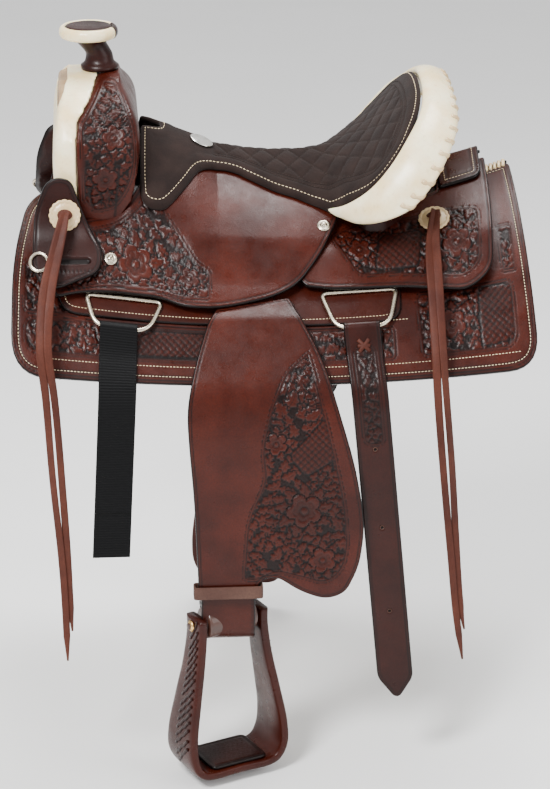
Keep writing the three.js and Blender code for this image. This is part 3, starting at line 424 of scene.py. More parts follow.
def stitches(name, paths, body, material, pitch=4.3, length=1.6, thick=0.5):
    """Thread stitches along paths of (points, normals)."""
    parts = []
    for line, normal in paths:
        reach = reach_along(line)
        at = np.arange(pitch / 2, reach[-1], pitch)
        centre = np.stack([np.interp(at, reach, line[:, k]) for k in range(3)], 1)
        on = np.stack([np.interp(at + 0.5, reach, line[:, k]) for k in range(3)], 1)
        off = np.stack([np.interp(at - 0.5, reach, line[:, k]) for k in range(3)], 1)
        n = np.stack([np.interp(at, reach, normal[:, k]) for k in range(3)], 1)
        way = on - off
        way /= np.maximum(np.linalg.norm(way, axis=1)[:, None], 1e-6)
        side = np.cross(way, n)
        c = CAPSULE[0]
        verts = centre[:, None] + length * c[None, :, 2:3] * way[:, None] + thick * c[None, :,
                0:1] * side[:, None] \
            + thick * c[None, :, 1:2] * n[:, None]
        k = len(c)
        faces = [[i + j * k for i in f] for j in range(len(centre)) for f in CAPSULE[1]]
        parts.append((verts.reshape(-1, 3), faces))
    return add_mesh(name, *join(parts), body, "rawhide", material)


def on_surface(place, line, h):
    """Points and normals of a (u, v) polyline on a surface at height h."""
    line = even(line, step=3.0)
    u, v = line[:, 0], line[:, 1]
    hh = h(u, v) if callable(h) else h + 0 * u
    p = place(u, v, hh)
    up = place(u, v, hh + 1) - p
    return p, up / np.linalg.norm(up, axis=1)[:, None]


def mirrored(obj, name, body, replaces=(), change=None):
    """The other side's copy of a piece."""
    mesh = obj.data.copy()
    mesh.name = name
    co = vectors(mesh) * (1, -1, 1)
    if change:
        co = change(co / MM) * MM
    put_back(mesh, co)
    mesh.flip_normals()
    made = bpy.data.objects.new(name, mesh)
    bpy.context.collection.objects.link(made)
    if body:
        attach(made, body)
    if replaces:
        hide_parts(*replaces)
    return made


# ------------------------------------------------------------------ materials


class Shader:
    """Builds one material's nodes on its object's own coordinates, in metres."""

    def __init__(self, name):
        self.material = bpy.data.materials.new(name)
        self.material.use_nodes = True
        self.tree = self.material.node_tree
        self.bsdf = self.tree.nodes["Principled BSDF"]
        self.place = self.tree.nodes.new("ShaderNodeTexCoord").outputs["Object"]

    def link(self, value, socket):
        if isinstance(value, bpy.types.NodeSocket):
            self.tree.links.new(value, socket)
        else:
            socket.default_value = (*value, 1) if isinstance(value,
                                                             tuple) and len(value) == 3 else value

    def noise(self, scale, detail=3, stretch=None):
        node = self.tree.nodes.new("ShaderNodeTexNoise")
        node.inputs["Scale"].default_value, node.inputs["Detail"].default_value = scale, detail
        place = self.place
        if stretch:
            mapping = self.tree.nodes.new("ShaderNodeMapping")
            mapping.inputs["Scale"].default_value = stretch
            self.link(place, mapping.inputs["Vector"])
            place = mapping.outputs["Vector"]
        self.link(place, node.inputs["Vector"])
        return node.outputs["Fac"]

    def cells(self, scale):
        node = self.tree.nodes.new("ShaderNodeTexVoronoi")
        node.inputs["Scale"].default_value = scale
        self.link(self.place, node.inputs["Vector"])
        return node.outputs["Distance"]

    def field(self, name):
        node = self.tree.nodes.new("ShaderNodeAttribute")
        node.attribute_name = name
        return node.outputs["Fac"]

    def math(self, operation, a, b=0.0):
        node = self.tree.nodes.new("ShaderNodeMath")
        node.operation = operation
        self.link(a, node.inputs[0])
        self.link(b, node.inputs[1])
        return node.outputs[0]

    def span(self, value, low, high, to_low=0.0, to_high=1.0):
        node = self.tree.nodes.new("ShaderNodeMapRange")
        for key, number in (("From Min", low), ("From Max", high), ("To Min", to_low),
                            ("To Max", to_high)):
            node.inputs[key].default_value = number
        self.link(value, node.inputs["Value"])
        return node.outputs["Result"]

    def mix(self, factor, a, b):
        node = self.tree.nodes.new("ShaderNodeMix")
        node.data_type = "RGBA"
        for value, socket in ((factor, 0), (a, 6), (b, 7)):
            self.link(value, node.inputs[socket])
        return node.outputs[2]

    def bump(self, height, strength, distance):
        node = self.tree.nodes.new("ShaderNodeBump")
        node.inputs["Strength"].default_value, node.inputs["Distance"].default_value = strength, distance
        self.link(height, node.inputs["Height"])
        self.link(node.outputs["Normal"], self.bsdf.inputs["Normal"])

    def finish(self, colour, rough, **more):
        self.link(colour, self.bsdf.inputs["Base Color"])
        self.link(rough, self.bsdf.inputs["Roughness"])
        for key, value in more.items():
            self.link(value, self.bsdf.inputs[key.replace("_", " ")])
        return self.material


BURNT = (0.004, 0.002, 0.0018)


def leather(name, base, worn, deep, rough=0.34, grain=0.28, coat=0.05):
    s = Shader(name)
    cloud = s.span(s.noise(16, 5), 0.36, 0.66)
    fine = s.noise(420, 4)
    colour = s.mix(cloud, base, worn)
    colour = s.mix(s.span(fine, 0.35, 0.75, 0, 0.35), colour, deep)
    # Painted shade: cuts, grooves, holes and the sunk carved ground are darkened towards the deep colour. The
    # line above uses the same deep colour for random grain flecks.
    colour = s.mix(s.math("MULTIPLY", s.field("tone"), 1.0), colour, deep)
    colour = s.mix(s.span(s.field("edge"), 0.15, 0.75), colour, BURNT)
    scuffs = s.span(s.noise(55, 6), 0.3, 0.75, -0.07, 0.12)
    roughness = s.math("ADD", s.math("ADD", scuffs, rough), s.math("MULTIPLY", s.field("tone"), 0.06))
    pores = s.math("ADD", s.math("MULTIPLY", s.cells(780), 0.5), s.noise(1100, 3))
    s.bump(s.math("ADD", pores, s.math("MULTIPLY", s.noise(90, 3), 1.5)), grain, 0.0006)
    return s.finish(colour, roughness, Coat_Weight=coat, Coat_Roughness=0.25, Specular_IOR_Level=0.17)


def rawhide(name, base, aged):
    s = Shader(name)
    colour = s.mix(s.span(s.noise(26, 5), 0.38, 0.68), base, aged)
    colour = s.mix(s.span(s.noise(170, 5), 0.55, 0.8, 0, 0.35), colour, (0.45, 0.30, 0.13))
    # Painted shade in sunk parts, where a rawhide piece carries the recess attribute.
    colour = s.mix(s.math("MULTIPLY", s.field("tone"), 0.8), colour, (0.28, 0.17, 0.08))
    s.bump(s.math("ADD", s.noise(60, 5), s.math("MULTIPLY", s.noise(600, 3), 0.3)), 0.25, 0.0012)
    return s.finish(colour, s.span(s.noise(80, 4), 0.3, 0.7, 0.26, 0.42), Coat_Weight=0.3,
                    Coat_Roughness=0.2,
                    Subsurface_Weight=0.08, Subsurface_Scale=0.004)


def suede(name, base, light):
    s = Shader(name)
    colour = s.mix(s.span(s.noise(40, 6), 0.35, 0.7), base, light)
    colour = s.mix(s.span(s.noise(900, 4), 0.4, 0.75, 0, 0.5), colour, light)
    # Painted shade along the seat's sunk seams and quilting lines.
    colour = s.mix(s.field("tone"), colour, (0.008, 0.005, 0.004))
    s.bump(s.math("ADD", s.noise(1500, 4), s.noise(260, 4)), 0.5, 0.0006)
    return s.finish(colour, 0.9, Sheen_Weight=0.05, Sheen_Roughness=0.5, Specular_IOR_Level=0.15)


def fleece_wool(name):
    s = Shader(name)
    colour = s.mix(s.span(s.noise(70, 6), 0.3, 0.7), (0.55, 0.45, 0.30), (0.80, 0.73, 0.58))
    s.bump(s.math("ADD", s.noise(420, 5), s.cells(300)), 0.9, 0.003)
    return s.finish(colour, 0.95, Sheen_Weight=0.5, Sheen_Roughness=0.6)


def metal(name, base, tarnish, rough):
    s = Shader(name)
    colour = s.mix(s.span(s.noise(120, 5), 0.45, 0.75, 0, 0.6), base, tarnish)
    s.bump(s.noise(900, 3, (1, 0.1, 1)), 0.08, 0.0004)
    return s.finish(colour, s.span(s.noise(240, 5), 0.3, 0.7, rough, rough + 0.16), Metallic=1.0)


def webbing(name):
    s = Shader(name)
    colour = s.mix(s.span(s.noise(700, 3, (1, 1, 3)), 0.35, 0.7), (0.0008, 0.0008, 0.0010),
                   (0.0035, 0.0035, 0.0042))
    # Painted shade in the grooves between the weave's ribs and along the stitched line.
    colour = s.mix(s.math("MULTIPLY", s.field("tone"), 0.8), colour, (0.0004, 0.0004, 0.0004))
    s.bump(s.noise(1600, 2, (1, 1, 4)), 0.4, 0.0004)
    return s.finish(colour, 0.5, Specular_IOR_Level=0.10)


def timber(name, base, grain_colour):
    s = Shader(name)
    colour = s.mix(s.span(s.noise(60, 5, (0.15, 1, 1)), 0.35, 0.7), base, grain_colour)
    s.bump(s.noise(300, 4, (0.1, 1, 1)), 0.3, 0.0008)
    return s.finish(colour, 0.45, Coat_Weight=0.2)


def floor_paint():
    s = Shader("floor")
    colour = s.mix(s.span(s.noise(3, 2), 0.3, 0.7), (0.93, 0.93, 0.925), (0.95, 0.95, 0.95))
    return s.finish(colour, 0.6)


TOOLED = leather("tooled leather", (0.030, 0.0040, 0.0018), (0.054, 0.0078, 0.0034),
                 (0.0026, 0.0007, 0.0006), 0.31)
SMOOTH = leather("smooth leather", (0.026, 0.0034, 0.0015), (0.042, 0.0062, 0.0026),
                 (0.0100, 0.0018, 0.0010), 0.30)
DARK = leather("dark leather", (0.014, 0.0024, 0.0015), (0.022, 0.0040, 0.0026),
               (0.0035, 0.0010, 0.0008), 0.33)
STRAP = leather("strap leather", (0.017, 0.0026, 0.0014), (0.028, 0.0046, 0.0026),
                (0.0040, 0.0011, 0.0008), 0.33)
LACE = leather("string leather", (0.046, 0.0100, 0.0055), (0.085, 0.0220, 0.0120),
               (0.0160, 0.0040, 0.0022), 0.5, 0.5, 0.0)
HOBBLE = leather("hobble leather", (0.060, 0.026, 0.019), (0.090, 0.045, 0.032), (0.018, 0.008, 0.006),
                 0.55)
RAWHIDE = rawhide("rawhide", (0.94, 0.83, 0.56), (0.84, 0.65, 0.33))
RAWHIDE_LACE = rawhide("rawhide lace", (0.66, 0.50, 0.28), (0.52, 0.36, 0.18))
SUEDE = suede("suede", (0.0075, 0.0036, 0.0030), (0.0170, 0.0090, 0.0072))
WOOL = fleece_wool("fleece")
NICKEL = metal("nickel", (0.66, 0.59, 0.47), (0.30, 0.23, 0.15), 0.2)
SILVER = metal("silver", (0.88, 0.86, 0.82), (0.55, 0.52, 0.46), 0.12)
BRASS = metal("brass", (0.72, 0.46, 0.18), (0.30, 0.17, 0.07), 0.25)
NYLON = webbing("nylon webbing")
WOOD = timber("tree wood", (0.42, 0.28, 0.15), (0.26, 0.16, 0.08))
ROLLER = timber("roller wood", (0.055, 0.018, 0.010), (0.028, 0.009, 0.005))
THREAD = suede("thread", (0.55, 0.43, 0.27), (0.72, 0.60, 0.40))

# ------------------------------------------------------------------ carved patterns


def leaf_shape(a, b):
    """A lobed, bent leaf along a in 0..1: how far inside its outline a point is, and its relief."""
    bent = b - 0.16 * np.sin(PI * np.clip(a, 0, 1)) + 0.05
    along = np.clip(a, 0.001, 0.999)
    half = 0.30 * np.sin(PI * along ** 0.8) ** 0.75 * (1 + 0.24 * np.cos(7 * PI * along))
    across = np.abs(bent) / np.maximum(half, 0.01)
    inner = np.where((a > 0) & (a < 1), (1 - across) * half, -1)
    veins = 0.5 + 0.5 * np.cos(13 * PI * (along - 0.9 * np.abs(bent)))
    relief = np.sqrt(np.clip(1 - across ** 2, 0,
                             1)) * (0.65 + 0.35 * veins) - 0.75 * np.exp(-(bent / 0.025) ** 2)
    return inner, relief


def flower_shape(a, b):
    """Five rounded petals around a domed centre."""
    r, angle = np.hypot(a, b), np.arctan2(b, a)
    lobes = np.abs(np.cos(2.5 * angle))
    rim = 0.55 + 0.42 * lobes ** 0.6
    cup = np.clip(r / rim, 0, 1)
    petal = ease(cup * 1.25) * (0.55 + 0.45
                                * lobes ** 0.5) - 0.6 * np.exp(-((r - 0.62
                                        * rim) / 0.05) ** 2) * (lobes > 0.45)
    petal -= 0.25 * (0.5 + 0.5 * np.cos(22 * angle)) * (r > 0.3) * (r < 0.55)
    centre = 1.1 - 0.9 * (r / 0.2) ** 2
    relief = np.where(r < 0.2, centre, petal - 0.5 * pulse(r, 0.23, 0.04))
    return rim - r, relief


def stamp(lift, tone, points, at, turn, reach, shape, depth):
    """Carves one motif: its outline is cut deep, and its face stands above the ground. The cut gets full
    painted shade, and the face gets painted shade that deepens where its relief is low.
    """
    way = points - at
    k = np.flatnonzero((np.abs(way) < 1.15 * reach).all(1))
    c, s = math.cos(turn), math.sin(turn)
    inner, relief = shape((way[k, 0] * c + way[k, 1] * s) / reach,
                          (way[k, 1] * c - way[k, 0] * s) / reach)
    on = inner > 0
    cut = (inner <= 0) & (inner > -2.2 / reach)
    lift[k[on]] = depth * (1.25 * relief[on] - 0.25)
    # Painted shade: the face is darker where its relief is low, and the cut round it is fully shaded.
    tone[k[on]] = np.clip(0.62 - 0.75 * relief[on], 0, 1)
    lift[k[cut]] = -1.4 * depth
    tone[k[cut]] = 1


def basket(u, v, size, depth):
    """Stamped basket weave: lift, and painted shade that is darker where the weave lies low."""
    a, b = (u + v) / (1.414 * size), (u - v) / (1.414 * size)
    odd = (np.floor(a) + np.floor(b)) % 2 == 0
    along, across = np.where(odd, a % 1, b % 1), np.where(odd, b % 1, a % 1)
    over = np.sin(PI * along) ** 0.6 * (0.75 + 0.25 * np.cos(6 * PI * across)) * (1 - pulse(across, 0,
            0.09) - pulse(across, 1, 0.09))
    return depth * (1.4 * over - 1), np.clip(1 - 1.1 * over, 0, 1)


def carve(u, v, area, size, seed, flowers=(), depth=0.85, weave=None):
    """Carved foliage and flowers inside a closed outline: lift in mm, and painted shade in its recesses from
    0 to 1.
    """
    points = np.stack([u, v], 1)
    lift, tone = np.zeros(len(u)), np.zeros(len(u))
    if signed_area(area) < 0:
        area = area[::-1]
    k = np.flatnonzero(inside(points, area))
    if not len(k):
        return lift, tone
    q = points[k]
    rng = np.random.default_rng(seed)
    low = np.full(len(k), -0.8 * depth) + 0.25 * depth * np.sin(2.6 * q[:, 0]) * np.sin(2.6 * q[:, 1])
    # Painted shade: the sunk ground between the motifs starts almost fully shaded, and the weave's seam cut
    # below is fully shaded.
    dark = np.full(len(k), 0.92)
    lo, hi = area.min(0), area.max(0)
    middle = (lo + hi) / 2
    pitch = 0.60 * size
    for row, y in enumerate(np.arange(lo[1], hi[1] + pitch, pitch)):
        for x in np.arange(lo[0] + (row % 2) * 0.5 * pitch, hi[0] + pitch, pitch):
            at = np.array([x, y]) + rng.uniform(-0.16, 0.16, 2) * size
            turn = 2.4 * math.sin(at[0] / (1.9 * size)) + 1.7 * math.cos(at[1] / (1.5
                    * size)) + rng.uniform(-0.5, 0.5)
            stamp(low, dark, q, at, turn, size * rng.uniform(0.75, 1.15), leaf_shape, depth)
    for x, y, r in flowers:
        for petal in range(9):
            turn = 2 * PI * petal / 9 + 0.3
            foot = np.array([x + 0.62 * r * math.cos(turn), y + 0.62 * r * math.sin(turn)])
            stamp(low, dark, q, foot, turn + 0.35, 1.0 * r, leaf_shape, depth)
        stamp(low, dark, q, np.array([x, y]), 0.5, r, flower_shape, 1.25 * depth)
    if weave is not None:
        w = inside(q, weave)
        low[w], dark[w] = basket(q[w, 0], q[w, 1], 6.5, 0.6 * depth)
        seam = rim_distance(q, weave) < 1.2
        low[seam], dark[seam] = -depth, 1
    d = rim_distance(q, area)
    frame_line = pulse(d, 0, 1.1) + pulse(d, 4, 0.9)
    bead = pulse(d, 2, 1.2)
    blend = ease(1 - (d - 4.5) / 1.5)
    low = low * (1 - blend) + (0.25 * bead - depth * frame_line) * blend
    # Painted shade in the border's cut lines.
    dark = dark * (1 - blend) + np.clip(frame_line, 0, 1) * blend
    lift[k], tone[k] = low, dark
    return lift, tone


def groove(d, at, width=1.0, depth=0.8):
    """A line cut at a distance d = at: lift, and painted shade in the cut."""
    g = pulse(d, at, width)
    return -depth * g, g


def summed(*pairs):
    return sum(p[0] for p in pairs), np.clip(sum(p[1] for p in pairs), 0, 1)


def line_distance(u, v, line):
    """Distance to an open polyline."""
    p = np.stack([u, v], 1)
    best = np.full(len(p), 1e9)
    for a, b in zip(line[:-1], line[1:]):
        d = b - a
        t = np.clip(((p - a) @ d) / (d @ d), 0, 1)
        best = np.minimum(best, ((p - a - t[:, None] * d) ** 2).sum(1))
    return np.sqrt(best)


def stitch_row(place, edge, reach, h, keep=None):
    """The path of a stitched row a fixed way inside an outline."""
    rim = even(edge, step=3.0, closed=True)
    if signed_area(rim) < 0:
        rim = rim[::-1]
    row = inset(rim, reach)
    if keep is not None:
        row = row[keep(row[:, 0], row[:, 1])]
    else:
        row = np.vstack([row, row[:1]])
    return on_surface(place, row, h)


def both_sides(obj, replaces, change=None, body=None):
    """The far copy of a near piece, named and hung to match."""
    name = obj.name.replace("near", "far")
    return mirrored(obj, name, "tree" if body is None else body, replaces, change)


# ------------------------------------------------------------------ skirts, fleece and rigging


FRONT_EDGE = {"near": [[-300, 44, 14], [-328, 78, 24], [-347, 160, 60]],
              "far": [[-292, 110, 20], [-330, 185, 60]]}


def skirt_edge(side, inset_by=0):
    i = inset_by
    front = [[x + i, s, r] for x, s, r in FRONT_EDGE[side]]
    return rounded([[-352 + i, 287 - i, 45], [323 - i, 287 - i, 40], [312 - i, i, 8],
                    [-292 + i, i, 6]] + front)


SKIRT_STRIP = rounded([[-334, 222, 14], [-262, 216, 6], [140, 216, 10], [140, 262, 10],
                       [-336, 262, 40]])
SKIRT_FRONT = rounded([[-334, 152, 14], [-262, 152, 10], [-262, 214, 6], [-336, 219, 12]])
SKIRT_REAR = rounded([[168, 176, 12], [296, 176, 12], [298, 262, 24], [172, 262, 10]])
SKIRT_BACK = rounded([[280, 100, 8], [303, 100, 8], [303, 168, 6], [282, 168, 6]])
WEAVE_FRONT = rounded([[-210, 222, 4], [-60, 222, 4], [-60, 255, 4], [-210, 255, 4]])
WEAVE_REAR = rounded([[250, 182, 10], [292, 182, 8], [294, 250, 10], [250, 256, 10]])


def skirt_relief(u, v, d):
    strip = carve(u, v, SKIRT_STRIP, 21, 3, [(-300, 240, 15)], weave=WEAVE_FRONT)
    front = carve(u, v, SKIRT_FRONT, 20, 4, [(-300, 182, 17)])
    rear = carve(u, v, SKIRT_REAR, 21, 5, [(214, 222, 19)], weave=WEAVE_REAR)
    back = carve(u, v, SKIRT_BACK, 18, 6)
    return summed(strip, front, rear, back, groove(d, 4.5, 0.8, 0.5), groove(d, 9, 1.3, 0.4))


def build_skirts():
    wool = lambda u, v, d: (2.2 * np.sin(0.31 * u + 1.7 * np.sin(0.11 * v))
                            * np.sin(0.27 * v + 1.3 * np.sin(0.13 * u))
                            + 1.3 * np.sin(0.83 * u + 2 * np.sin(0.31 * v)) * np.sin(0.71 * v), 0 * u)
    for side, place in (("near", NEAR), ("far", barrel(1))):
        flipped = lambda x, s, h: place(x, s, 17.4 - h)
        panel(f"fleece_{side}_pile", skirt_edge(side, 4), flipped, 0, 15.2, 4, "tree", "fleece", WOOL,
              wool, 6, [f"fleece_{side}"])
        panel(f"skirt_{side}_tooled", skirt_edge(side), place, 18, 23, 1.8, "tree", "tooled_leather",
              TOOLED, skirt_relief, 1.8,
              [f"skirt_{side}"])
        rows = [stitch_row(place, skirt_edge(side), 9, 22.9),
                on_surface(place, np.array([[-262, 210], [160, 210]]), 23.1),
                on_surface(place, np.array([[-318, 266], [300, 266]]), 23.1)]
        stitches(f"skirt_{side}_stitching", rows, "tree", THREAD)
    edge = rounded([[-290, 113, 10], [-290, 213, 25], [150, 213, 25], [150, 113, 10]])
    rigging = panel("rigging_plate_near_edged", edge, NEAR, 24, 28, 4, "tree", "smooth_leather", SMOOTH,
                    lambda u, v, d: groove(d, 5), 1.6, ["rigging_plate_near"])
    both_sides(rigging, ["rigging_plate_far"])
    both_sides(stitches("rigging_near_stitching", [stitch_row(NEAR, edge, 8, 28)], "tree", THREAD), [])


# ------------------------------------------------------------------ jockeys

SEAT_JOCKEY = rounded([
    [-296, 146, 6], [-294, 203, 10], [-262, 192, 30], [-225, 187, 20], [-160, 187, 20], [-128, 199, 30],
    [-88, 199, 30],
    [-45, 190, 30], [-12, 181, 20], [18, 165, 20], [50, 128, 20], [74, 85, 14], [82, 62, 8],
    [66, 40, 6], [66, -4],
    [-148, -4], [-150, 18], [-176, 30], [-184, 66], [-196, 82, 8], [-214, 92, 10], [-240, 98, 10],
    [-268, 112, 10]])
REAR_JOCKEY = rounded([[18, 150, 10], [26, 166, 8], [60, 171, 10], [150, 175, 20], [236, 190, 16],
                       [270, 168, 24],
                       [275, 90, 20], [277, 5, 4], [208, 5, 4], [208, 46, 8], [78, 46, 12]])
JOCKEY_TOOLED = rounded([[-288, 150, 6], [-286, 196, 8], [-225, 180, 20], [-160, 180, 20],
                         [-128, 190, 14], [-95, 190, 8],
                         [-92, 150, 16], [-111, 142, 12], [-134, 108, 20], [-156, 76, 14],
                         [-174, 72, 8], [-190, 92, 10],
                         [-212, 104, 10], [-240, 112, 10], [-264, 126, 10]])
REAR_TOOLED = rounded([[60, 98, 14], [95, 158, 12], [150, 161, 16], [234, 174, 12], [256, 158, 18],
                       [260, 84, 12],
                       [226, 78, 10], [170, 82, 10], [100, 80, 10]])
REAR_WEAVE = rounded([[128, 104, 10], [182, 104, 8], [176, 152, 10], [118, 150, 10]])


def seat_jockey_relief(u, v, d):
    carved = carve(u, v, JOCKEY_TOOLED, 21, 11, [(-190, 150, 23), (-262, 168, 15), (-122, 162, 14)])
    return summed(carved, groove(d, 5, 0.9, 0.5))


def rear_jockey_relief(u, v, d):
    carved = carve(u, v, REAR_TOOLED, 20, 12, [(226, 128, 20), (100, 122, 15)], weave=REAR_WEAVE)
    return summed(carved, groove(d, 5, 0.9, 0.5))


def screw(name, foot, normal, body="tree"):
    washer = lathe([(0, 0), (8.2, 0), (8.6, 0.5), (8.3, 1.1), (6.5, 1.8), (5.2, 1.9), (4.9, 1.6),
                    (4.6, 2.4), (3.4, 3.6),
                    (1.8, 4.3), (0, 4.5)], 40)
    slot = (np.array([[-3.6, -0.45, 3.4], [3.6, -0.45, 3.4], [3.6, 0.45, 3.4], [-3.6, 0.45, 3.4],
                      [-3.6, -0.45, 4.4], [3.6, -0.45, 4.4], [3.6, 0.45, 4.4], [-3.6, 0.45, 4.4]]),
            [[3, 2, 1, 0], [4, 5, 6, 7], [0, 1, 5, 4], [1, 2, 6, 5], [2, 3, 7, 6], [3, 0, 4, 7]])
    dome = add_mesh(name, standing(washer[0], foot, normal, 0.4), washer[1], body, "nickel", NICKEL)
    # Painted shade: the screw's slot is drawn as a small dark-leather bar set into the dome, standing for the
    # shadow in the slot.
    bar = add_mesh(name + "_slot_shadow", standing(slot[0], foot, normal, 0.9), slot[1], body, "nickel", DARK,
                   smooth=False)
    return dome, bar


def build_jockeys():
    seat = panel("seat_jockey_near_tooled", SEAT_JOCKEY, NEAR, lambda x, s: jockey_top(x, s) - 4.5,
                 jockey_top, 1.6, "tree",
                 "tooled_leather", TOOLED, seat_jockey_relief, 1.9, ["seat_jockey_near"])
    both_sides(seat, ["seat_jockey_far"])
    rear = panel("rear_jockey_near_tooled", REAR_JOCKEY, NEAR, lambda x, s: rear_jockey_top(x, s) - 4.5,
                 rear_jockey_top, 1.6,
                 "tree", "tooled_leather", TOOLED, rear_jockey_relief, 1.9, ["rear_jockey_near"])
    both_sides(rear, ["rear_jockey_far"])
    for which, x, s, h in (("front", -222, 148, 2.2), ("rear", 55, 94, 1.8)):
        foot = NEAR(x, s, float(jockey_top(np.array([x * 1.0]), np.array([s * 1.0]))[0]) + h - 1.6)
        normal = surface_normal(lambda a, b,
                                c: NEAR(a, b, jockey_top(np.atleast_1d(a), np.atleast_1d(b))[0] + c), x,
                                s)
        for k, piece in enumerate(screw(f"jockey_screw_{which}_near_domed", foot, normal)):
            if k == 0:
                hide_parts(f"jockey_screw_{which}_near")
            both_sides(piece, [f"jockey_screw_{which}_far"] if k == 0 else [])


# ------------------------------------------------------------------ keeper, bridge, rosettes

KEEPER = Profile([[132, 100], [135, 62], [147, 27], [172, -1], [198, -24], [208, -34]], -1)
KEEPER_EDGE = rounded([[-289, 0, 8], [-270, 4, 14], [-256, 47, 20], [-232, 102, 12], [-236, 132, 14],
                       [-290, 155, 20],
                       [-311, 150, 14], [-322, 122, 30], [-318, 45, 30], [-303, 8, 14]])
KEEPER_SLOT = np.array([[-292, 116], [-252, 116]])
SCALLOPS = 16


def keeper_relief(u, v, d):
    slot = line_distance(u, v, KEEPER_SLOT)
    sunk = ease((5.0 - slot) / 1.5)
    marks = pulse(v, 131, 2.6) * (np.abs(u + 270) < 24) * (0.5 + 0.5 * np.cos(2 * PI * u / 5.2)) ** 2
    # Painted shade in the sunk slot and in the stamped marks.
    return summed((-3.4 * sunk, sunk), (0.35 * pulse(slot, 6.4, 1.2), 0 * u), (-0.7 * marks, marks),
                  groove(d, 4.5))


def rosette(name, foot, normal, turn, replaces):
    """A scalloped, domed rosette, standing at foot."""
    angle = np.linspace(0, 2 * PI, SCALLOPS * 10, endpoint=False)
    shape = [(1.0, 0.0), (1.03, 0.5), (1.03, 2.2), (1.0, 3.1), (0.93, 3.6), (0.84, 3.3), (0.80, 2.9),
             (0.76, 3.3),
             (0.60, 4.0), (0.35, 4.3), (0.2, 4.3)]
    rings = []
    for r, z in shape:
        wave = 18.9 * r * (1 + 0.055 * np.abs(np.cos(SCALLOPS / 2 * angle)) * ease((r - 0.6) / 0.3))
        punch = 0.5 * (0.5 + 0.5 * np.cos(SCALLOPS * angle)) * pulse(r, 0.86, 0.05)
        rings.append(np.stack([wave * np.cos(angle), wave * np.sin(angle), z - punch], -1))
    verts, faces = loft(np.array(rings))
    return add_mesh(name, standing(verts, foot, normal, turn), faces, "tree", "rawhide", RAWHIDE_LACE,
                    replaces=replaces)


def knot(name, foot, normal, body="tree"):
    """The string's knot over a rosette's slit."""
    t = np.linspace(0, 2 * PI, 70, endpoint=False)
    loop = np.stack([5.2 * np.sin(t) + 2.2 * np.sin(2 * t), 6.5 * np.cos(t) * np.cos(t / 2) ** 2 - 2,
                     7.4 + 1.6 * np.sin(3 * t)], 1)
    bar = np.stack([np.linspace(-6, 6, 20), 1.5 * np.sin(np.linspace(0, PI, 20)),
                    6 + 3 * np.sin(np.linspace(0, PI, 20))], 1)
    verts, faces = join([tube(loop, 3.2, 1.5, (0, 0, 1), 10, True), tube(bar, 3.4, 1.6, (0, 0, 1), 10)])
    return add_mesh(name, standing(verts, foot, normal), faces, body, "string_leather", LACE)


def build_trim():
    keeper = panel("latigo_keeper_near_edged", KEEPER_EDGE, KEEPER, 2, 6.5, 1.6, "tree",
                   "smooth_leather", DARK, keeper_relief, 1.8,
                   ["latigo_keeper_near"])
    both_sides(keeper, ["latigo_keeper_far"])
    foot, normal = KEEPER(-279.0, 50.0, 8.4), surface_normal(KEEPER, -279, 50)
    both_sides(rosette("rosette_front_near_scalloped", foot, normal, 0, ["rosette_front_near"]),
               ["rosette_front_far"])
    both_sides(knot("string_knot_front_near", foot, normal), [])
    top = lambda a, b, c: NEAR(a, b, rear_jockey_top(a, b) + c)
    foot, normal = top(200.0, 92.0, 1.2), surface_normal(top, 200, 92)
    both_sides(rosette("rosette_rear_near_scalloped", foot, normal, 0, ["rosette_rear_near"]),
               ["rosette_rear_far"])
    both_sides(knot("string_knot_rear_near", foot, normal), [])
    low = lambda x, y: height_over(x, y, lambda a, b: 50.5 + 0 * a)
    edge = rounded([[212, -62, 4], [262, -58, 8], [268, -50, 6], [270, 0], [268, 50, 6], [262, 58, 8],
                    [212, 62, 4]])
    panel("rear_bridge_edged", edge, upright, low, lambda x, y: low(x, y) + 4.5, 2.4, "tree",
          "smooth_leather", SMOOTH,
          lambda u, v, d: summed(groove(d, 6), groove(d, 12, 0.9, 0.5)), 1.8, ["rear_bridge"])
    stitches("rear_bridge_stitching", [stitch_row(upright, edge, 8.5, lambda x, y: low(x, y) + 4.5)],
             "tree", THREAD)
    lacing = []
    for x in np.arange(283, 306, 5.5):
        y = np.linspace(-11, 11, 15)
        z = height_over(x + 0.12 * y, y, lambda a, b: 23.4 + 0 * a)
        lacing.append(tube(np.stack([x + 0.12 * y, y, z + 1.4 - 1.8 * (y / 11) ** 4], 1), 2.3, 1.0,
                           (0, 0, 1), 8))
    add_mesh("skirt_spine_lacing", *join(lacing), "tree", "string_leather", RAWHIDE_LACE)
    plate = lathe([(0, -1.2), (0.93, -1.2), (1, -0.7), (1, 0.5), (0.94, 1.0), (0.86, 0.9), (0.8, 1.05),
                   (0.5, 1.45), (0, 1.6)], 72)
    verts = plate[0] * (16.2, 11.6, 1.0)
    spot = np.array([-98, -14, float(seat_top(np.array([-98.0]), np.array([-14.0]))[0]) + 2.6])
    tops = seat_top(np.array([-108.0, -88, -98, -98]), np.array([-14.0, -14, -24, -4]))
    way = np.array([tops[0] - tops[1], tops[2] - tops[3], 20.0])
    add_mesh("seat_plate_domed", standing(verts, spot, way / np.linalg.norm(way)), plate[1], "tree",
             "silver", SILVER,
             replaces=["seat_plate"])
    ring = np.array([[11 * math.cos(t), 13 * math.sin(t), 0] for t in np.linspace(0, 2 * PI, 48,
            endpoint=False)])
    foot, normal = KEEPER(-313.0, 118.0, 8.8), surface_normal(KEEPER, -313, 118)
    verts, faces = tube(ring, 2.2, 2.2, (0, 0, 1), 12, True)
    both_sides(add_mesh("breast_ring_near", standing(verts, foot, normal), faces, "tree", "nickel",
                        NICKEL), [])


# ------------------------------------------------------------------ fork, horn and cantle


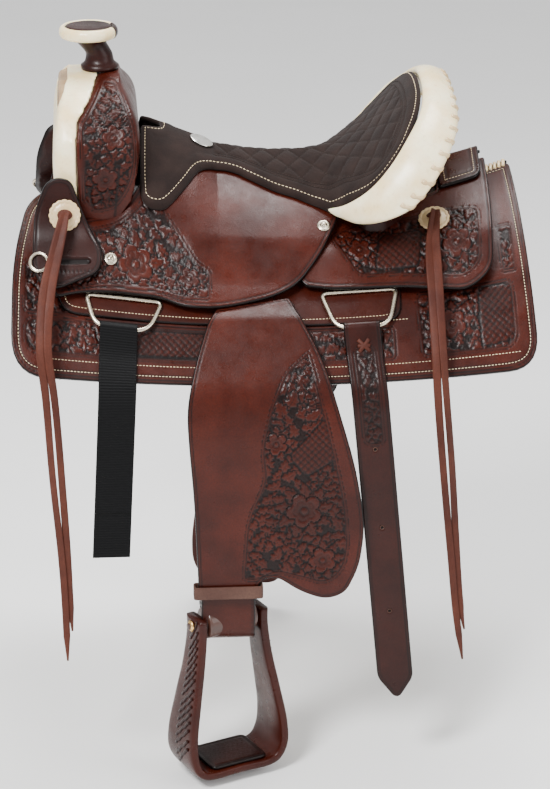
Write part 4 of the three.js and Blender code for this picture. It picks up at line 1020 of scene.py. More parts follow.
def relaxed(mesh, rounds):
    """Smooths away a mesh's flat facets, and keeps its sharp rims where they are."""
    count = len(mesh.vertices)
    co, normal = vectors(mesh).astype(float), vectors(mesh, "normal").astype(float)
    pairs = np.empty(len(mesh.edges) * 2, np.int32)
    mesh.edges.foreach_get("vertices", pairs)
    a, b = pairs.reshape(-1, 2).T
    near = np.maximum(np.bincount(a, minlength=count) + np.bincount(b, minlength=count), 1)

    def blurred(values):
        total = [np.bincount(a, values[b, k], count) + np.bincount(b, values[a, k],
                count) for k in range(3)]
        return np.stack(total, 1) / near[:, None]

    for _ in range(5):
        normal = blurred(normal)
    free = ease((np.linalg.norm(normal, axis=1) - 0.86) / 0.08)[:, None]
    for _ in range(6):
        co = co + 0.5 * (blurred(co) - co)
    for _ in range(rounds):
        co = co + 0.5 * free * (blurred(co) - co)
    put_back(mesh, co)


def remeshed(node, name, voxel, material, rounds=6, carved=None):
    """A fine copy of a CAD node, rounded by voxels and smoothing, with a pattern pushed along its normals."""
    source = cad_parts[node]
    mesh = source.data.copy()
    mesh.name = name
    mesh.materials.clear()
    mesh.materials.append(material)
    made = bpy.data.objects.new(name, mesh)
    bpy.context.collection.objects.link(made)
    remesh = made.modifiers.new("remesh", "REMESH")
    remesh.mode, remesh.voxel_size = "VOXEL", voxel * FINE * MM
    ready = bpy.data.meshes.new_from_object(made.evaluated_get(bpy.context.evaluated_depsgraph_get()))
    made.modifiers.clear()
    made.data = ready
    ready.name = name
    ready.shade_smooth()
    relaxed(ready, rounds)
    if carved:
        co, normal = vectors(ready) / MM, vectors(ready, "normal")
        lift, tone = carved(co, normal)
        put_back(ready, (co + normal * lift[:, None]) * MM)
        ready.attributes.new("tone", "FLOAT", "POINT").data.foreach_set("value",
                tone.astype(np.float32))
        ready.update()
    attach(made, "tree")
    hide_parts(node)
    return made


SWELL_AREA = rounded([[-256, 62, 6], [-258, 160, 8], [-238, 186, 8], [-226, 206, 4], [-208, 204, 6],
                      [-196, 180, 10], [-187, 158, 10],
                      [-185, 120, 10], [-190, 92, 10], [-200, 70, 10], [-214, 52, 8], [-240, 46, 6]])


def swell_carving(co, normal):
    lift, tone = carve(co[:, 0], co[:, 2], SWELL_AREA, 20, 21, [(-226, 92, 18), (-214, 146, 16)], 1.0)
    facing = ease((np.abs(normal[:, 1]) - 0.15) / 0.3)
    seam = pulse(co[:, 0] + 213 - 0.10 * (co[:, 2] - 60), 0, 1.6) * (co[:, 2] < 112) * 0.9
    # Painted shade: the carving's recess shade on the sides, and painted shade along the sunk seam.
    return (lift * (1 - seam) - 0.9 * seam) * facing, np.clip(tone * facing + seam, 0, 1)


def horn_parts():
    base = np.array([-229.5, 0, 208.5])
    neck = lathe([(0, 0), (24, 0), (24.6, 2), (24.2, 5), (21.5, 7.5), (19.2, 10), (18.2, 14),
                  (17.6, 18), (17.4, 22), (17.5, 28), (18.4, 33),
                  (20.6, 38), (23.5, 41), (0, 41)], 72)
    verts = neck[0] + np.outer(ease((neck[0][:, 2] - 18) / 23), (-12, 0, 0)) + base
    wraps = 0.35 * np.sin(neck[0][:, 2] * 1.6 + 2 * np.arctan2(neck[0][:, 1], neck[0][:, 0]))
    verts[:, :2] += (wraps / 20)[:, None] * neck[0][:, :2]
    add_mesh("horn_neck_wrapped", verts, neck[1], "tree", "smooth_leather", DARK, replaces=["horn"])
    at = base + (-13.5, 0, 41.3)
    cap = lathe([(0, -0.2), (30, -0.2), (31, 1), (31, 13.4), (29.5, 15.0), (26, 15.9), (20, 16.1),
                 (10, 15.7), (0, 15.5)], 90)
    add_mesh("horn_cap_domed", cap[0] + at, cap[1], "tree", "smooth_leather", DARK,
             replaces=["horn_cap"])
    section = [(30.8, 0.6), (33.5, -0.2), (36, 1.0), (37.6, 4.0), (38.1, 7.5), (37.5, 11.2),
               (35.6, 14.2), (33.2, 15.6), (31.2, 15.2)]
    for name, start, end, slot, material in (("horn_rim_wrapped", 25, 335, "rawhide", RAWHIDE),
                                             ("horn_rim_rear_cover", -24.5, 24.5, "smooth_leather",
                                              DARK)):
        rings = []
        for a in np.radians(np.linspace(start, end, int((end - start) / 3))):
            wrap = 0.35 * np.abs(math.sin(11 * a)) ** 0.5
            rings.append([[(r + wrap * (r > 33)) * math.cos(a), (r + wrap * (r > 33)) * math.sin(a),
                           z] for r, z in section])
        verts, faces = loft(np.array(rings))
        add_mesh(name, verts + at, faces, "tree", slot, material, replaces=["horn_rim_rawhide"])


def rim_line(rows, count):
    near = rows * (1, -1, 1)
    return smooth_line(np.vstack([near, (rows[:-1])[::-1]]), count)


BOARD_FOOT = 0.16  # how much narrower the covered cantle board is at its foot, to stay inside the roll


def build_cantle():
    count = 240
    inner, outer = rim_line(RIM_INNER, count), rim_line(RIM_OUTER, count)
    reach = np.linalg.norm(outer - inner, axis=1)[:, None]
    inner = inner - 3.5 * (outer - inner) / reach
    t = np.linspace(0, 1, count)
    wide = (outer - inner) / 2
    way = np.gradient(inner, axis=0) + np.gradient(outer, axis=0)
    thick = np.cross(way / np.linalg.norm(way, axis=1)[:, None], wide)
    thick /= np.linalg.norm(thick, axis=1)[:, None]
    half = 10.2 * np.minimum(1, 0.35 + 8 * np.minimum(t, 1 - t))
    middle = (inner + outer) / 2
    angle = np.linspace(0, 2 * PI, 36, endpoint=False)
    lumps = 0.25 * np.sin(60 * t)[:, None, None] + 0.2 * np.sin(23 * t + 1)[:, None, None]
    shape = middle[:, None] + wide[:, None] * np.cos(angle)[None, :,
                                                            None] + (half[:, None,
                                                                    None] + lumps) * np.sin(angle)[None,
                                                                            :, None] * thick[:, None]
    verts, faces = loft(shape)
    add_mesh("cantle_roll_sewn", verts, faces, "tree", "rawhide", RAWHIDE,
             replaces=["cantle_roll_rawhide"])
    lacing = []
    for at in np.arange(0.155, 0.85, 0.029):
        k = at * (count - 1)
        i = int(k)
        turn = np.linspace(-0.95, 0.95, 14)
        step = np.linspace(-2.2, 2.2, 14)
        line = []
        for a, j in zip(turn, step):
            m = int(np.clip(round(i + j * count / 240), 0, count - 1))
            line.append(middle[m] + wide[m] * 1.02 * math.cos(a) + (half[m] + 0.9) * math.sin(a)
                        * thick[m])
        line = even(np.array(line), count=14)
        up = (outer[i] - middle[i]) / np.linalg.norm(outer[i] - middle[i])
        lacing.append(tube(line, 3.3, 1.2, up, 8))
    add_mesh("cantle_roll_lacing", *join(lacing), "tree", "rawhide", RAWHIDE_LACE)
    board = remeshed("cantle_board", "cantle_board_covered", 3, DARK, 4)
    co = vectors(board.data)
    co[:, 1] *= 1 - BOARD_FOOT * ease((70 - co[:, 2] / MM) / 50)
    put_back(board.data, co)


def build_fork():
    remeshed("swell_cover", "swell_cover_tooled", 1.7, TOOLED, 130, swell_carving)
    remeshed("fork_front_rawhide", "fork_front_smoothed", 2.4, RAWHIDE, 90)
    horn_parts()
    # The tree bars get the dark leather as painted shade: on the real tree they are rawhide-covered, and
    # where they show under the jockeys they lie in shadow.
    for node, material in (("fork", WOOD), ("tree_bar_near", DARK), ("tree_bar_far", DARK),
                           ("ground_seat", DARK)):
        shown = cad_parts[node]
        shown.data.materials.clear()
        shown.data.materials.append(material)


# ------------------------------------------------------------------ seat

SEAT_HALF = [[-152, 0], [-153, -13, 5], [-163, -19, 5], [-178, -22, 5], [-180, -66, 8], [-181, -94, 8],
             [-180, -112, 8], [-170, -118, 8],
             [-152, -117, 12], [-134, -102, 14], [-118, -84, 14], [-108, -68, 12], [-98, -57, 12],
             [-80, -48, 16], [-56, -49, 16], [-24, -66, 16], [-5, -76, 16],
             [27, -88, 16], [50, -98, 16], [66, -109, 12], [86, -129, 14], [111, -148, 16],
             [136, -149, 14], [159, -134, 16],
             [178, -99.5, 20], [186.5, -59.5, 20], [188, 0, 20]]
SEAT_EDGE = rounded(SEAT_HALF + [[x, -y, *r] for x, y, *r in SEAT_HALF[-2:0:-1]])
DISH_X = np.linspace(-200, 192, 200)
DISH_Z = np.interp(DISH_X, SEAT_CENTRE[:, 0], SEAT_CENTRE[:, 1])
DISH_A = np.concatenate([[0], np.cumsum(np.hypot(np.diff(DISH_X), np.diff(DISH_Z)))])
QUILT = 25.0


def seat_relief(u, v, d):
    a = np.interp(u, DISH_X, DISH_A)
    p, q = (a * 0.78 + v * 0.62) / QUILT, (a * 0.78 - v * 0.62) / QUILT
    f, g = np.abs(p % 1 - 0.5), np.abs(q % 1 - 0.5)
    to_line = (0.5 - np.maximum(f, g)) * QUILT
    region = ease((d - 24) / 2) * ease((u + 82) / 3)
    puff = 2.4 * np.sqrt(np.clip(np.cos(PI * f) * np.cos(PI * g), 0, 1)) - 1.5
    scale = np.sin(PI * np.minimum((p * 4) % 1, 1)) * 0.25
    line = pulse(to_line, 0, 0.9)
    seams = pulse(d, 24, 1.0) * (u > -82) + pulse(d, 19, 0.9) * (u > -84) + pulse(u, -83,
            0.9) * (d > 19)
    rolled = 1.2 * ease(d / 9) * (1 - ease((d - 12) / 8))
    lift = rolled + region * (puff + scale - 0.9 * line) - 1.1 * np.clip(seams, 0, 1) - 0.8 * pulse(d,
            6, 1.3)
    # The second value is painted shade along the sunk seams and quilting lines.
    return lift, np.clip(0.7 * seams + region * line * 0.8, 0, 1)


def quilt_rows():
    rows = []
    step = QUILT
    a_hi = DISH_A[-1]
    for sign in (1, -1):
        for k in range(-14, 40):
            v = np.linspace(-150, 150, 161)
            a = (k * step - sign * 0.62 * v) / 0.78
            x = np.interp(a, DISH_A, DISH_X)
            points = np.stack([x, v], 1)[(a > 0) & (a < a_hi)]
            if len(points) < 3:
                continue
            keep = inside(points, SEAT_EDGE) & (rim_distance(points, SEAT_EDGE) > 25) & (points[:,
                    0] > -80)
            for run in np.split(np.arange(len(points)), np.flatnonzero(~keep)):
                run = run[keep[run]]
                if len(run) > 4:
                    rows.append(points[run])
    return rows


CLOTH_FRAMES = 20


def puffed(obj):
    """Lets the padding swell between its seams: a short cloth simulation of a coarse copy."""
    coarse = panel("seat_cloth_scratch", SEAT_EDGE, upright, lambda x, y: seat_top(x, y) - 6, seat_top,
                   7, "tree", "suede", SUEDE,
                   None, 3.5)
    rest = vectors(coarse.data)
    x, y = rest[:, 0] / MM, rest[:, 1] / MM
    d = rim_distance(np.stack([x, y], 1).astype(float), SEAT_EDGE)
    _, tone = seat_relief(x.astype(float), y.astype(float), d)
    top = rest[:, 2] / MM > seat_top(x.astype(float), y.astype(float)) - 3
    pins = coarse.vertex_groups.new(name="pins")
    pins.add([int(k) for k in np.flatnonzero(~top | (d < 8) | (tone > 0.35))], 1.0, "REPLACE")
    cloth = coarse.modifiers.new("cloth", "CLOTH")
    settings = cloth.settings
    settings.quality, settings.mass, settings.vertex_group_mass = 5, 0.3, "pins"
    settings.tension_stiffness = settings.compression_stiffness = 25
    settings.bending_stiffness = 1.5
    settings.use_pressure, settings.uniform_pressure_force = True, 4
    settings.effector_weights.gravity = 0
    cloth.point_cache.frame_start, cloth.point_cache.frame_end = 1, CLOTH_FRAMES
    scene = bpy.context.scene
    for number in range(1, CLOTH_FRAMES + 1):
        scene.frame_set(number)
    swollen = bpy.data.meshes.new_from_object(coarse.evaluated_get(bpy.context.evaluated_depsgraph_get()))
    shift = np.clip((vectors(swollen) - rest)[:, 2] / MM, -1, 5)
    shift[~np.isfinite(shift)] = 0
    scene.frame_set(1)
    bpy.data.objects.remove(coarse)
    bpy.data.meshes.remove(swollen)
    tree = KDTree(int(top.sum()))
    places = np.flatnonzero(top)
    for i, k in enumerate(places):
        tree.insert((x[k], y[k], 0), i)
    tree.balance()
    co = vectors(obj.data)
    u, v = co[:, 0].astype(float) / MM, co[:, 1].astype(float) / MM
    for k in np.flatnonzero(co[:, 2] / MM > seat_top(u, v) - 4):
        near = tree.find_n((u[k], v[k], 0), 3)
        weight = [1 / (reach + 0.5) for _, _, reach in near]
        co[k, 2] += MM * sum(w * shift[places[i]] for w, (_, i, _) in zip(weight, near)) / sum(weight)
    put_back(obj.data, co)


def build_seat():
    seat = panel("seat_quilted", SEAT_EDGE, upright, lambda x, y: seat_top(x, y) - 6, seat_top, 1.9,
                 "tree", "suede", SUEDE,
                 seat_relief, 3.5, ["seat"])
    puffed(seat)
    surface = lambda x, y: seat_top(x, y) + 0.3
    stitches("seat_border_stitching", [stitch_row(upright, SEAT_EDGE, 6, surface)], "tree", THREAD, 5.2,
             1.9, 0.55)
    panel_edge = lambda x, y: x > -82
    rows = [stitch_row(upright, SEAT_EDGE, 19, lambda x, y: seat_top(x, y) + 0.4, panel_edge),
            stitch_row(upright, SEAT_EDGE, 24, lambda x, y: seat_top(x, y) + 0.3, panel_edge)]
    rows += [on_surface(upright, row, lambda x, y: seat_top(x, y) - 1.6) for row in quilt_rows()]
    stitches("seat_quilt_stitching", rows, "tree",
             suede("quilt thread", (0.022, 0.012, 0.010), (0.04, 0.024, 0.019)), 4.0, 1.5, 0.4)


# ------------------------------------------------------------------ stirrup leathers, fenders and stirrups

NECK_X, BOLT_Z, HANG_Y, ROLLER_R, YAW = -80, -470, 271, 21, math.radians(25)
ROLLER_Y = HANG_Y - ROLLER_R - 0.5


def leg_base(s):
    """The leather's underside above the barrel: over the bar, under the jockey and beyond its lip."""
    over = 32.3 + 12 * (1 - ease((s - 108) / 63))
    return np.where(s < 175, over,
                    over + (34.6 - over) * ease((s - 175) / 25)) - 3.4 * ease((s - 205) / 85)


def leg_rows():
    s = np.array([58, 85, 110, 130, 150, 168, 182, 195, 208, 220, 245, 268, 290.0])
    at = barrel(1)(np.full(len(s), -45.0), s, leg_base(s))
    y, z = at[-1, 1], at[-1, 2]
    rows = [[p[1], p[2]] for p in at]
    rows += [[y + 8, z - 26], [HANG_Y - 1, z - 58], [HANG_Y, z - 95], [HANG_Y, -250], [HANG_Y, -330],
             [HANG_Y, -420], [HANG_Y, BOLT_Z]]
    rows += [[ROLLER_Y + 21.5 * math.cos(t),
              BOLT_Z - 21.5 * math.sin(t)] for t in np.radians(np.arange(20, 301, 20))]
    return rows


LEG = Profile(leg_rows(), -1)
LEG_BOLT_A = LEG.at_z(BOLT_Z + 1.0)


def leg_a(s):
    """The length along the leg's curve at s on the barrel."""
    spot = barrel(1)(-45.0, s, float(leg_base(np.array(s))))[[1, 2]]
    return float(LEG.reach[np.argmin(np.linalg.norm(LEG.line[:420] - spot, axis=1))])


def leg_place(x, a, h):
    """The leg's surface, turned to the stirrup's line near the bolt."""
    p = LEG(x, a, h)
    angle = YAW * ease((np.asarray(a) - (LEG_BOLT_A - 34)) / 24)
    dx, dy = p[..., 0] - NECK_X, -p[..., 1] - ROLLER_Y
    c, s = np.cos(angle), np.sin(angle)
    return np.stack([NECK_X + dx * c + dy * s, -(ROLLER_Y + dy * c - dx * s), p[..., 2]], -1)


def leg_lift_of(a):
    return ease((a - leg_a(192.0)) / 25)


def fender_edge():
    z = LEG.at_z
    a = leg_a
    return rounded([[-89, a(196.0), 4], [-101, a(215.0), 30], [-118, z(-120), 40], [-131, z(-170), 40],
                    [-129, z(-215), 40],
                    [-123, z(-291), 40], [-119, z(-400), 30], [-119, z(-428), 3], [-42, z(-428), 3],
                    [-41, z(-409), 12], [-30, z(-401), 12],
                    [-14, z(-402), 16], [14, z(-422), 26], [46, z(-434), 24], [72, z(-426), 24],
                    [90, z(-388), 34], [97, z(-330), 50],
                    [84, z(-250), 50], [64, z(-180), 50], [40, z(-110), 40], [12, a(198.0), 30],
                    [5, a(182.0), 4]])


def fender_panel():
    z = LEG.at_z
    return rounded([[27, z(-108), 6], [-5, z(-131), 14], [-26, z(-169), 18], [-39, z(-223), 20],
                    [-34, z(-265), 14], [-57, z(-319), 20],
                    [-63, z(-405), 10], [-41, z(-406), 8], [-19, z(-394), 14], [13, z(-403), 18],
                    [46, z(-414), 18], [70, z(-395), 20],
                    [78, z(-359), 24], [73, z(-296), 34], [55, z(-212), 40], [39, z(-151), 30]])


def build_legs():
    a_end = float(LEG.length) - 1
    z = LEG.at_z
    bar_near = leg_a(62.0)
    leather_edge = rounded([[-75, bar_near, 6], [-78, z(-110), 40], [-115, z(-300), 60],
                            [-115, a_end, 2], [-45, a_end, 2],
                            [-45, z(-300), 60], [-12, z(-110), 40], [-15, bar_near, 6]])
    thick = lambda x, a: 3.2 + 1.3 * leg_lift_of(a)
    relief = lambda u, v, d: groove(d, 4, 0.8, 0.4)
    strap = panel("stirrup_leather_near_edged", leather_edge, leg_place, 0, thick, 2.6, None,
                  "smooth_leather", SMOOTH, relief, 1.5,
                  ["stirrup_leather_near", "stirrup_leather_loop_near"])
    low = lambda x, a: 3.6 + 2.4 * leg_lift_of(a)
    high = lambda x, a: 6.5 + 3.9 * leg_lift_of(a)
    carving = fender_panel()
    weave = rounded([[-2, z(-232), 8], [50, z(-178), 12], [62, z(-236), 12], [20, z(-262), 10]])
    fender_relief = lambda u, v, d: summed(carve(u, v, carving, 23, 31,
                                                 [(18, z(-308), 24), (42, z(-378), 18),
                                                  (-18, z(-216), 15)], 0.95, weave),
                                                  groove(d, 4.5, 0.8, 0.5))
    fender = panel("fender_near_tooled", fender_edge(), leg_place, low, high, 1.6, None,
                   "tooled_leather", TOOLED, fender_relief, 1.9,
                   ["fender_near"])
    start = NEAR(-45.0, 186.0, 38.0) * MM
    end = NEAR(-45.0, 206.0, 38.0) * MM
    swing_far = lambda co: swung(lowered(co))
    for piece, nodes in ((strap, ["stirrup_leather_far", "stirrup_leather_loop_far"]),
                         (fender, ["fender_far"])):
        far = mirrored(piece, piece.name.replace("near", "far"), None, nodes, swing_far)
        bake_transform(piece)
        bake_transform(far)
    hobble()
    stirrup()


def lowered(co):
    """The far leg hangs 55 mm higher: the slack is taken out of its straight middle."""
    out = co.copy()
    out[:, 2] += 55 * ease((-100 - co[:, 2]) / 150)
    return out


def swung(co):
    """The far leg's rest swing, 5 degrees back about the stirrup bar."""
    turn = math.radians(-5)
    x, z = co[:, 0] + 45, co[:, 2] - 26.61
    c, s = math.cos(turn), math.sin(turn)
    return np.stack([x * c + z * s - 45, co[:, 1], -x * s + z * c + 26.61], 1)


def far_leg(co):
    return swung(co + (0, 0, 55))


def hobble():
    """The strap buckled round the leather and the fender above the stirrup."""
    t = np.linspace(0, 2 * PI, 160, endpoint=False)
    c, s = np.cos(t), np.sin(t)
    power = 0.16
    x = -80 + 43.6 * np.sign(c) * np.abs(c) ** power
    y = -(HANG_Y + 5.6 + 8.2 * np.sign(s) * np.abs(s) ** power)
    line = even(np.stack([x, y, np.full(len(x), -419.0)], 1), count=160, closed=True)
    verts, faces = tube(line, 1.5, 8.7, (0, 0, 1), 16, True, 0.35)
    band = add_mesh("hobble_strap_near_worn", verts, faces, "near_leg", "strap_leather", HOBBLE,
                    replaces=["hobble_strap_near"])
    mirrored(band, "hobble_strap_far_worn", "far_leg", ["hobble_strap_far"], far_leg)


def at_bolt(co):
    """From the stirrup's own frame, with X along its bolt, to the near side."""
    c, s = math.cos(YAW), math.sin(YAW)
    x, y, z = co[..., 0], co[..., 1], co[..., 2]
    return np.stack([NECK_X + x * c - y * s, -ROLLER_Y + x * s + y * c, BOLT_Z + z], -1)


def stirrup_pair(name, verts, faces, slot, material, node=None):
    near = add_mesh(name.format("near"), at_bolt(verts), faces, "near_stirrup", slot, material,
                    replaces=[node + "_near"] if node else ())
    mirrored(near, name.format("far"), "far_stirrup", [node + "_far"] if node else (), far_leg)


LACE_OFF = 7.3  # from the middle of the stirrup's wall to its lacing


def stirrup():
    half = [[-45, 10, 40], [-45, -10, 40], [-50, -55, 46], [-59, -105, 58], [-67, -155, 70],
            [-66, -184, 76], [-58, -200, 76],
            [-47, -206, 76], [0, -206, 76]]
    rows = np.array(half + [[-x, z, d] for x, z, d in half[-2::-1]], float)
    line = smooth_line(rows, 150)
    path = np.stack([line[:, 0], 0 * line[:, 0], line[:, 1]], 1)
    way = np.gradient(path, axis=0)
    way /= np.linalg.norm(way, axis=1)[:, None]
    thick = np.stack([-way[:, 2], 0 * way[:, 0], way[:, 0]], 1)
    angle = np.linspace(0, 2 * PI, 40, endpoint=False)
    c, s = np.cos(angle), np.sin(angle)
    c, s = np.sign(c) * np.abs(c) ** 0.42, np.sign(s) * np.abs(s) ** 0.42
    rings = path[:, None] + 6.7 * c[None, :, None] * thick[:, None]
    rings[..., 1] += (line[:, 2:3] / 2) * s[None, :]
    verts, faces = loft(rings)
    stirrup_pair("stirrup_{}_covered", verts, faces, "stirrup_leather_cover", SMOOTH, "stirrup")
    lacing = []
    reach = reach_along(path)
    for at in np.arange(22, reach[-1] - 22, 11.5):
        if abs(at - reach[-1] / 2) < 72:
            continue
        k = int(np.searchsorted(reach, at))
        wide = line[k, 2] / 2
        points = []
        for u in np.linspace(-0.36, 0.10, 12):
            j = int(np.clip(k + round(6 * u * 3), 0, len(path) - 1))
            outwards = -1 if np.dot(thick[j], path[j] + (0, 0, 100)) < 0 else 1
            points.append(path[j] + LACE_OFF * outwards * thick[j] + (0, 2 * u * wide, 0))
        lacing.append(tube(even(np.array(points), count=12), 2.2, 0.9, thick[k], 8))
    stirrup_pair("stirrup_{}_lacing", *join(lacing), "stirrup_leather_cover", DARK)
    spool = lathe([(0, -58), (4.2, -58), (4.6, -57.4), (4.8, -35.2), (19, -35.2), (20.6, -34),
                   (20.9, -31), (20.4, -20), (20.2, 0),
                   (20.4, 20), (20.9, 31), (20.6, 34), (19, 35.2), (4.8, 35.2), (4.6, 57.4), (4.2, 58),
                   (0, 58)], 48)
    stirrup_pair("stirrup_bolt_{}_turned", spool[0][:, [2, 0, 1]], spool[1], "roller_wood", ROLLER,
                 "stirrup_bolt")
    head = lathe([(0, -52.2), (7.6, -52.2), (8.2, -52.8), (8.0, -54.6), (5.6, -56.2), (4, -56.6),
                  (0, -56.8)][::-1], 6)
    ends = [head[0][:, [2, 0, 1]], head[0][:, [2, 0, 1]] * (-1, 1, 1)]
    both = join([(ends[0], head[1]), (ends[1], [f[::-1] for f in head[1]])])
    stirrup_pair("stirrup_bolt_{}_nuts", *both, "nickel", BRASS)
    pad = rounded([[-41, -34, 10], [41, -34, 10], [41, 34, 10], [-41, 34, 10]])
    place = lambda x, y, h: at_bolt(np.stack(np.broadcast_arrays(x, y, -206 + 6.8 + h), -1))
    tread = panel("stirrup_tread_near_stitched", pad, place, 0.2, lambda x, y: 3.9 + 0 * x, 2.4,
                  "near_stirrup", "strap_leather", DARK,
                  lambda u, v, d: summed((0.35 * np.sin(0.9 * u) * np.sin(0.9 * v) * (d > 8), 0 * u),
                                         groove(d, 5)), 1.4,
                  ["stirrup_tread_near"])
    mirrored(tread, "stirrup_tread_far_stitched", "far_stirrup", ["stirrup_tread_far"], far_leg)


# ------------------------------------------------------------------ dees and hanging straps

FRONT_DEE = dict(x=-206.0, s=188.5, drop=44.0, strap_h=25.6)
REAR_DEE = dict(x=96.0, s=171.5, drop=54.0, strap_h=25.0)
WIRE_R = 2.75


def dee_frame(dee, side=1):
    place = barrel(side)
    bar = place(dee["x"], dee["s"], 31.5)
    along = place(dee["x"] + 1, dee["s"], 31.5) - bar
    along /= np.linalg.norm(along)
    down = place(dee["x"], dee["s"] + 1, 31.5) - bar
    out = np.cross(along, down)
    out /= np.linalg.norm(out)
    down = np.cross(out, along)
    down /= np.linalg.norm(down)
    return bar, along, down, out, bar + down * dee["drop"]


def dee_ring(name, dee, body, node):
    bar, along, down, out, _ = dee_frame(dee, -1)
    route = rounded([[-49, 0, 9], [49, 0, 9], [34, dee["drop"], 19], [-34, dee["drop"], 19]], 12)
    line = even(bar + route[:, :1] * along + route[:, 1:] * down, count=180, closed=True)
    verts, faces = tube(line, WIRE_R, WIRE_R, out, 20, True)
    ring = add_mesh(name, verts, faces, body, "nickel", NICKEL, replaces=[node])
    mirrored(ring, name.replace("near", "far"), body.replace("near", "far"),
             [node.replace("near", "far")])


class Strap:
    """A strap looped over a dee's bow, lying on the skirt and then hanging: place(x, a, h)."""

    def __init__(self, dee, bottom, lean, side, folded=0.0, offset=0.0):
        self.dee, self.lean, self.side, self.offset = dee, lean, side, offset
        self.along, self.bow = dee_frame(dee)[1], dee_frame(dee)[4]
        out, z = self.bow[1], self.bow[2]
        r = WIRE_R + 0.9
        over = [barrel(1)(dee["x"], s, dee["strap_h"]) for s in (252, 272, 292)]
        last = over[2]
        loop = [[out + r * math.cos(t), z + r * math.sin(t)] for t in np.radians(np.arange(250, -1,
                -25))]
        path = loop + [[p[1], p[2]] for p in over] + [[last[1] + 6, last[2] - 22],
                                                      [last[1] + 7, last[2] - 50],
                                                      [last[1] + 7, (last[2] - 50 + bottom) / 2],
                                                      [last[1] + 7, bottom]]
        if folded:
            path += [[last[1] + 6.2, bottom - 1.4], [last[1] + 5.2, bottom],
                     [last[1] + 5.0, bottom + folded / 2],
                     [last[1] + 5.0, bottom + folded]]
        self.profile = Profile(path, side)
        self.length = float(self.profile.length)

    def at_z(self, z):
        half = len(self.profile.line) * 9 // 10
        return float(np.interp(-z, -self.profile.line[60:half, 1], self.profile.reach[60:half]))

    def __call__(self, x, a, h):
        p = self.profile(x, a, h)
        drop = self.bow[2] - p[..., 2]
        fade = 1 - ease(drop / 110)
        tilt = self.along[2] / self.along[0]
        out = np.array(p)
        out[..., 0] += self.dee["x"] + self.offset + self.lean * np.maximum(drop, 0)
        out[..., 2] += tilt * (np.asarray(x) + self.offset) * fade
        return out


def build_straps():
    dee_ring("front_dee_near_wire", FRONT_DEE, "near_front_dee", "front_dee_near")
    dee_ring("rear_dee_near_wire", REAR_DEE, "near_rear_dee", "rear_dee_near")
    strap = Strap(FRONT_DEE, -371.0, -0.054, -1, 60, -8)
    # The weave's second value is painted shade: darker between the ribs and in the sunk stitch line.
    weave = lambda u, v, d: (0.8 * np.abs(np.cos(PI * v / 3.4)) - 0.5 - 0.5 * pulse(v, strap.at_z(-312),
            0.8),
                             np.clip(1 - 1.4 * np.abs(np.cos(PI * v / 3.4)), 0, 1) * 0.6 + pulse(v,
                                     strap.at_z(-312), 1.0))
    edge = np.array([[-24, 1.0], [24, 1.0], [24, strap.length - 1], [-24, strap.length - 1]])
    panel("latigo_near_woven", edge, strap, 0, 3.0, 0.85, "near_latigo", "nylon", NYLON, weave, 0.9,
          ["latigo_near"])
    rows = [on_surface(strap, np.array([[-21, strap.at_z(z)], [21, strap.at_z(z)]]),
                       3.1) for z in (-310, -314)]
    stitches("latigo_near_stitching", rows, "near_latigo", NYLON, 2.6, 1.0, 0.35)
    strap = Strap(FRONT_DEE, -345.0, 0.0, 1)
    edge = pointed_edge(22, strap.length)
    panel("off_billet_far_edged", edge, strap, 0, 4.0, 2.4, "far_off_billet", "strap_leather", STRAP,
          lambda u, v, d: summed(groove(d, 4), holes(u, v, [strap.length - k for k in (50, 85, 120)])),
          1.6, ["off_billet_far"])
    for side, name, bottom, lean, offset in ((-1, "near", -587.0, 0.095, 0),
                                             (1, "far", -330.0, 0.26, 8)):
        strap = Strap(REAR_DEE, bottom, lean, side, 0, offset)
        edge = pointed_edge(23.5, strap.length)
        carving = rounded([[-15, strap.at_z(-88), 8], [15, strap.at_z(-88), 8],
                           [15, strap.at_z(min(-228, 0)), 14], [-15, strap.at_z(-228), 14]])
        spots = [strap.at_z(z) for z in (-232, -341,
                                         -460)] if side < 0 else [strap.length - k for k in (50, 90)]
        relief = lambda u, v, d: summed(carve(u, v, carving, 15, 41, (), 0.8), groove(d, 4.2, 0.8, 0.5),
                                        holes(u, v, spots))
        panel(f"flank_billet_{name}_tooled", edge, strap, 0, 4.2, 1.7, f"{name}_flank_billet",
              "strap_leather", STRAP, relief, 1.7,
              [f"flank_billet_{name}"])
        ties = []
        for start, end in (((-7, -9), (7, 7)), ((-7, 7), (7, -9)), ((-8, -1), (8, -1))):
            t = np.linspace(0, 1, 14)
            x = start[0] + (end[0] - start[0]) * t
            a = strap.at_z(-66) + start[1] + (end[1] - start[1]) * t
            ties.append(tube(strap(x, a, 4.4 + 2.2 * np.sin(PI * t)), 2.6, 1.2,
                             surface_normal(strap, 0, strap.at_z(-66)), 8))
        add_mesh(f"flank_billet_{name}_lace", *join(ties), f"{name}_flank_billet", "string_leather",
                 LACE)
        eyes = []
        ring = np.array([[2.6 * math.cos(t), 2.6 * math.sin(t), 0] for t in np.linspace(0, 2 * PI, 20,
                endpoint=False)])
        for spot in spots:
            verts, faces = tube(ring, 0.5, 0.5, (0, 0, 1), 8, True)
            eyes.append((standing(verts, strap(0.0, spot, 4.2), surface_normal(strap, 0, spot)), faces))
        add_mesh(f"flank_billet_{name}_hole_edges", *join(eyes), f"{name}_flank_billet",
                 "strap_leather", HOBBLE)


def pointed_edge(half, length):
    return rounded([[-half, 1.0], [half, 1.0], [half, length - 30, 8], [5, length - 3, 5],
                    [0, length - 1, 2], [-5, length - 3, 5],
                    [-half, length - 30, 8]])


def holes(u, v, spots):
    # Painted shade inside the punched holes, as deep as they are sunk.
    sunk = sum(ease((3.0 - np.hypot(u, v - a)) / 1.0) for a in spots)
    return -2.8 * sunk, np.clip(sunk, 0, 1)


# ------------------------------------------------------------------ saddle strings

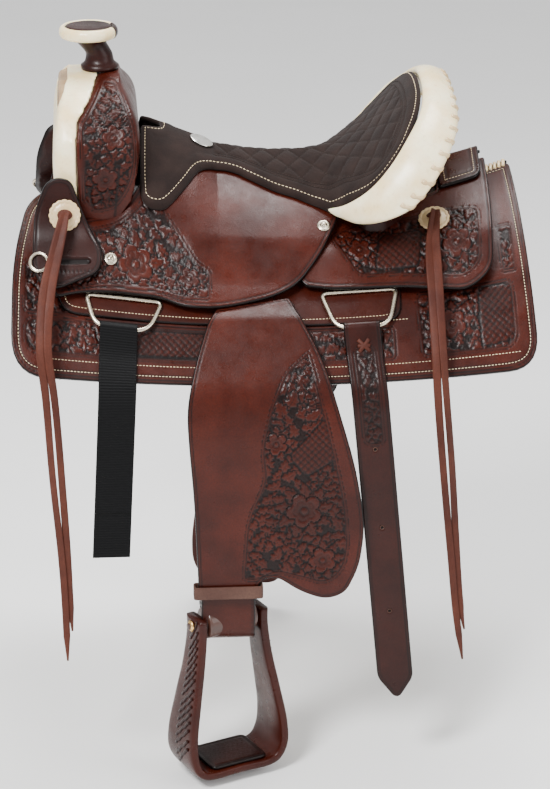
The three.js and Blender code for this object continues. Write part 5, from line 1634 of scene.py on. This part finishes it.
FRONT_PATH = [[-279, 160, 60], [-283, 172, 46], [-292, 194, 16], [-303, 226, -22], [-309, 263, -85],
              [-303, 275, -150], [-297, 277, -258],
              [-290, 277, -370], [-286, 277, -512]]
REAR_PATH = [[200, 120, 42], [197, 131, 30], [193, 151, 11], [191, 178, -10], [191, 213, -48],
             [191, 255, -104], [194, 271, -164],
             [204, 273, -273], [213, 273, -372], [221, 273, -458], [232, 273, -529]]


def string_strand(name, points, side, offset, end_z, curl, node):
    """One thong of a string: a flat tube with a cut tip."""
    rows = [[x + offset * min(k / 3, 1), side * y, z] for k,
            (x, y, z) in enumerate(points) if z > end_z]
    x, y, z = rows[-1]
    last = np.array([p for p in points if p[2] <= end_z][0],
                    float) if any(p[2] <= end_z for p in points) else np.array(points[-1], float)
    t = (z - end_z) / max(z - last[2], 1e-6)
    rows.append([x + (last[0] + offset - x) * min(t, 1), side * last[1], end_z])
    line = smooth_line(rows, 157)
    t = np.linspace(0, 1, len(line))
    line[:, 0] += curl * np.sin(9 * t) * t
    line[:, 1] += side * np.abs(curl) * 0.5 * (np.sin(7 * t + offset) - 1) * t
    width = 6.5 - 2.0 * t ** 0.6
    width[-10:] *= np.linspace(1, 0.25, 10)
    twist = 0.5 * np.sin(5 * t + offset)
    up = np.stack([np.sin(twist), side * np.cos(twist), 0.35 * np.ones(len(t))], 1)
    verts, faces = tube(line, width, 1.5, up, 12, power=0.7)
    piece = add_mesh(name, verts, faces, "tree", "string_leather", LACE, replaces=[node])


def build_strings():
    for side, name in ((-1, "near"), (1, "far")):
        ends = ((-512, -470), (-529, -486)) if side < 0 else ((-325, -300), (-325, -302))
        for which, points, pair in (("front", FRONT_PATH, ends[0]), ("rear", REAR_PATH, ends[1])):
            for strand, offset, end_z, curl in (("a", -4.4, pair[0], 1.6), ("b", 5.4, pair[1], -2.0)):
                string_strand(f"string_{which}_{name}_strand_{strand}", points, side, offset, end_z,
                              curl, f"string_{which}_{name}")


# ------------------------------------------------------------------ light, floor and the end


def area_light(name, at, size, power, colour=(1, 1, 1)):
    data = bpy.data.lights.new(name, "AREA")
    data.shape, data.size, data.energy, data.color = "DISK", size, power, colour
    light = bpy.data.objects.new(name, data)
    light.location = at
    light.rotation_mode = "QUATERNION"
    light.rotation_quaternion = (Vector((0, 0, -0.2)) - Vector(at)).to_track_quat("-Z", "Y")
    bpy.context.collection.objects.link(light)


def studio():
    world = bpy.data.worlds.new("studio")
    bpy.context.scene.world = world
    world.use_nodes = True
    world.node_tree.nodes["Background"].inputs["Color"].default_value = (1, 1, 1, 1)
    world.node_tree.nodes["Background"].inputs["Strength"].default_value = 0.9
    mesh = bpy.data.meshes.new("floor")
    mesh.from_pydata([(-6, -6, -0.695), (6, -6, -0.695), (6, 6, -0.695), (-6, 6, -0.695)], [],
                     [(0, 1, 2, 3)])
    mesh.materials.append(floor_paint())
    floor = bpy.data.objects.new("floor", mesh)
    bpy.context.collection.objects.link(floor)
    area_light("key", (-1.3, -2.0, 2.0), 0.9, 150)
    area_light("fill", (1.9, -1.8, 0.8), 1.6, 30)
    area_light("top", (0.3, 0.5, 2.4), 1.2, 80)


studio()
build_strings()
build_skirts()
build_jockeys()
build_trim()
build_fork()
build_cantle()
build_seat()
build_legs()
build_straps()
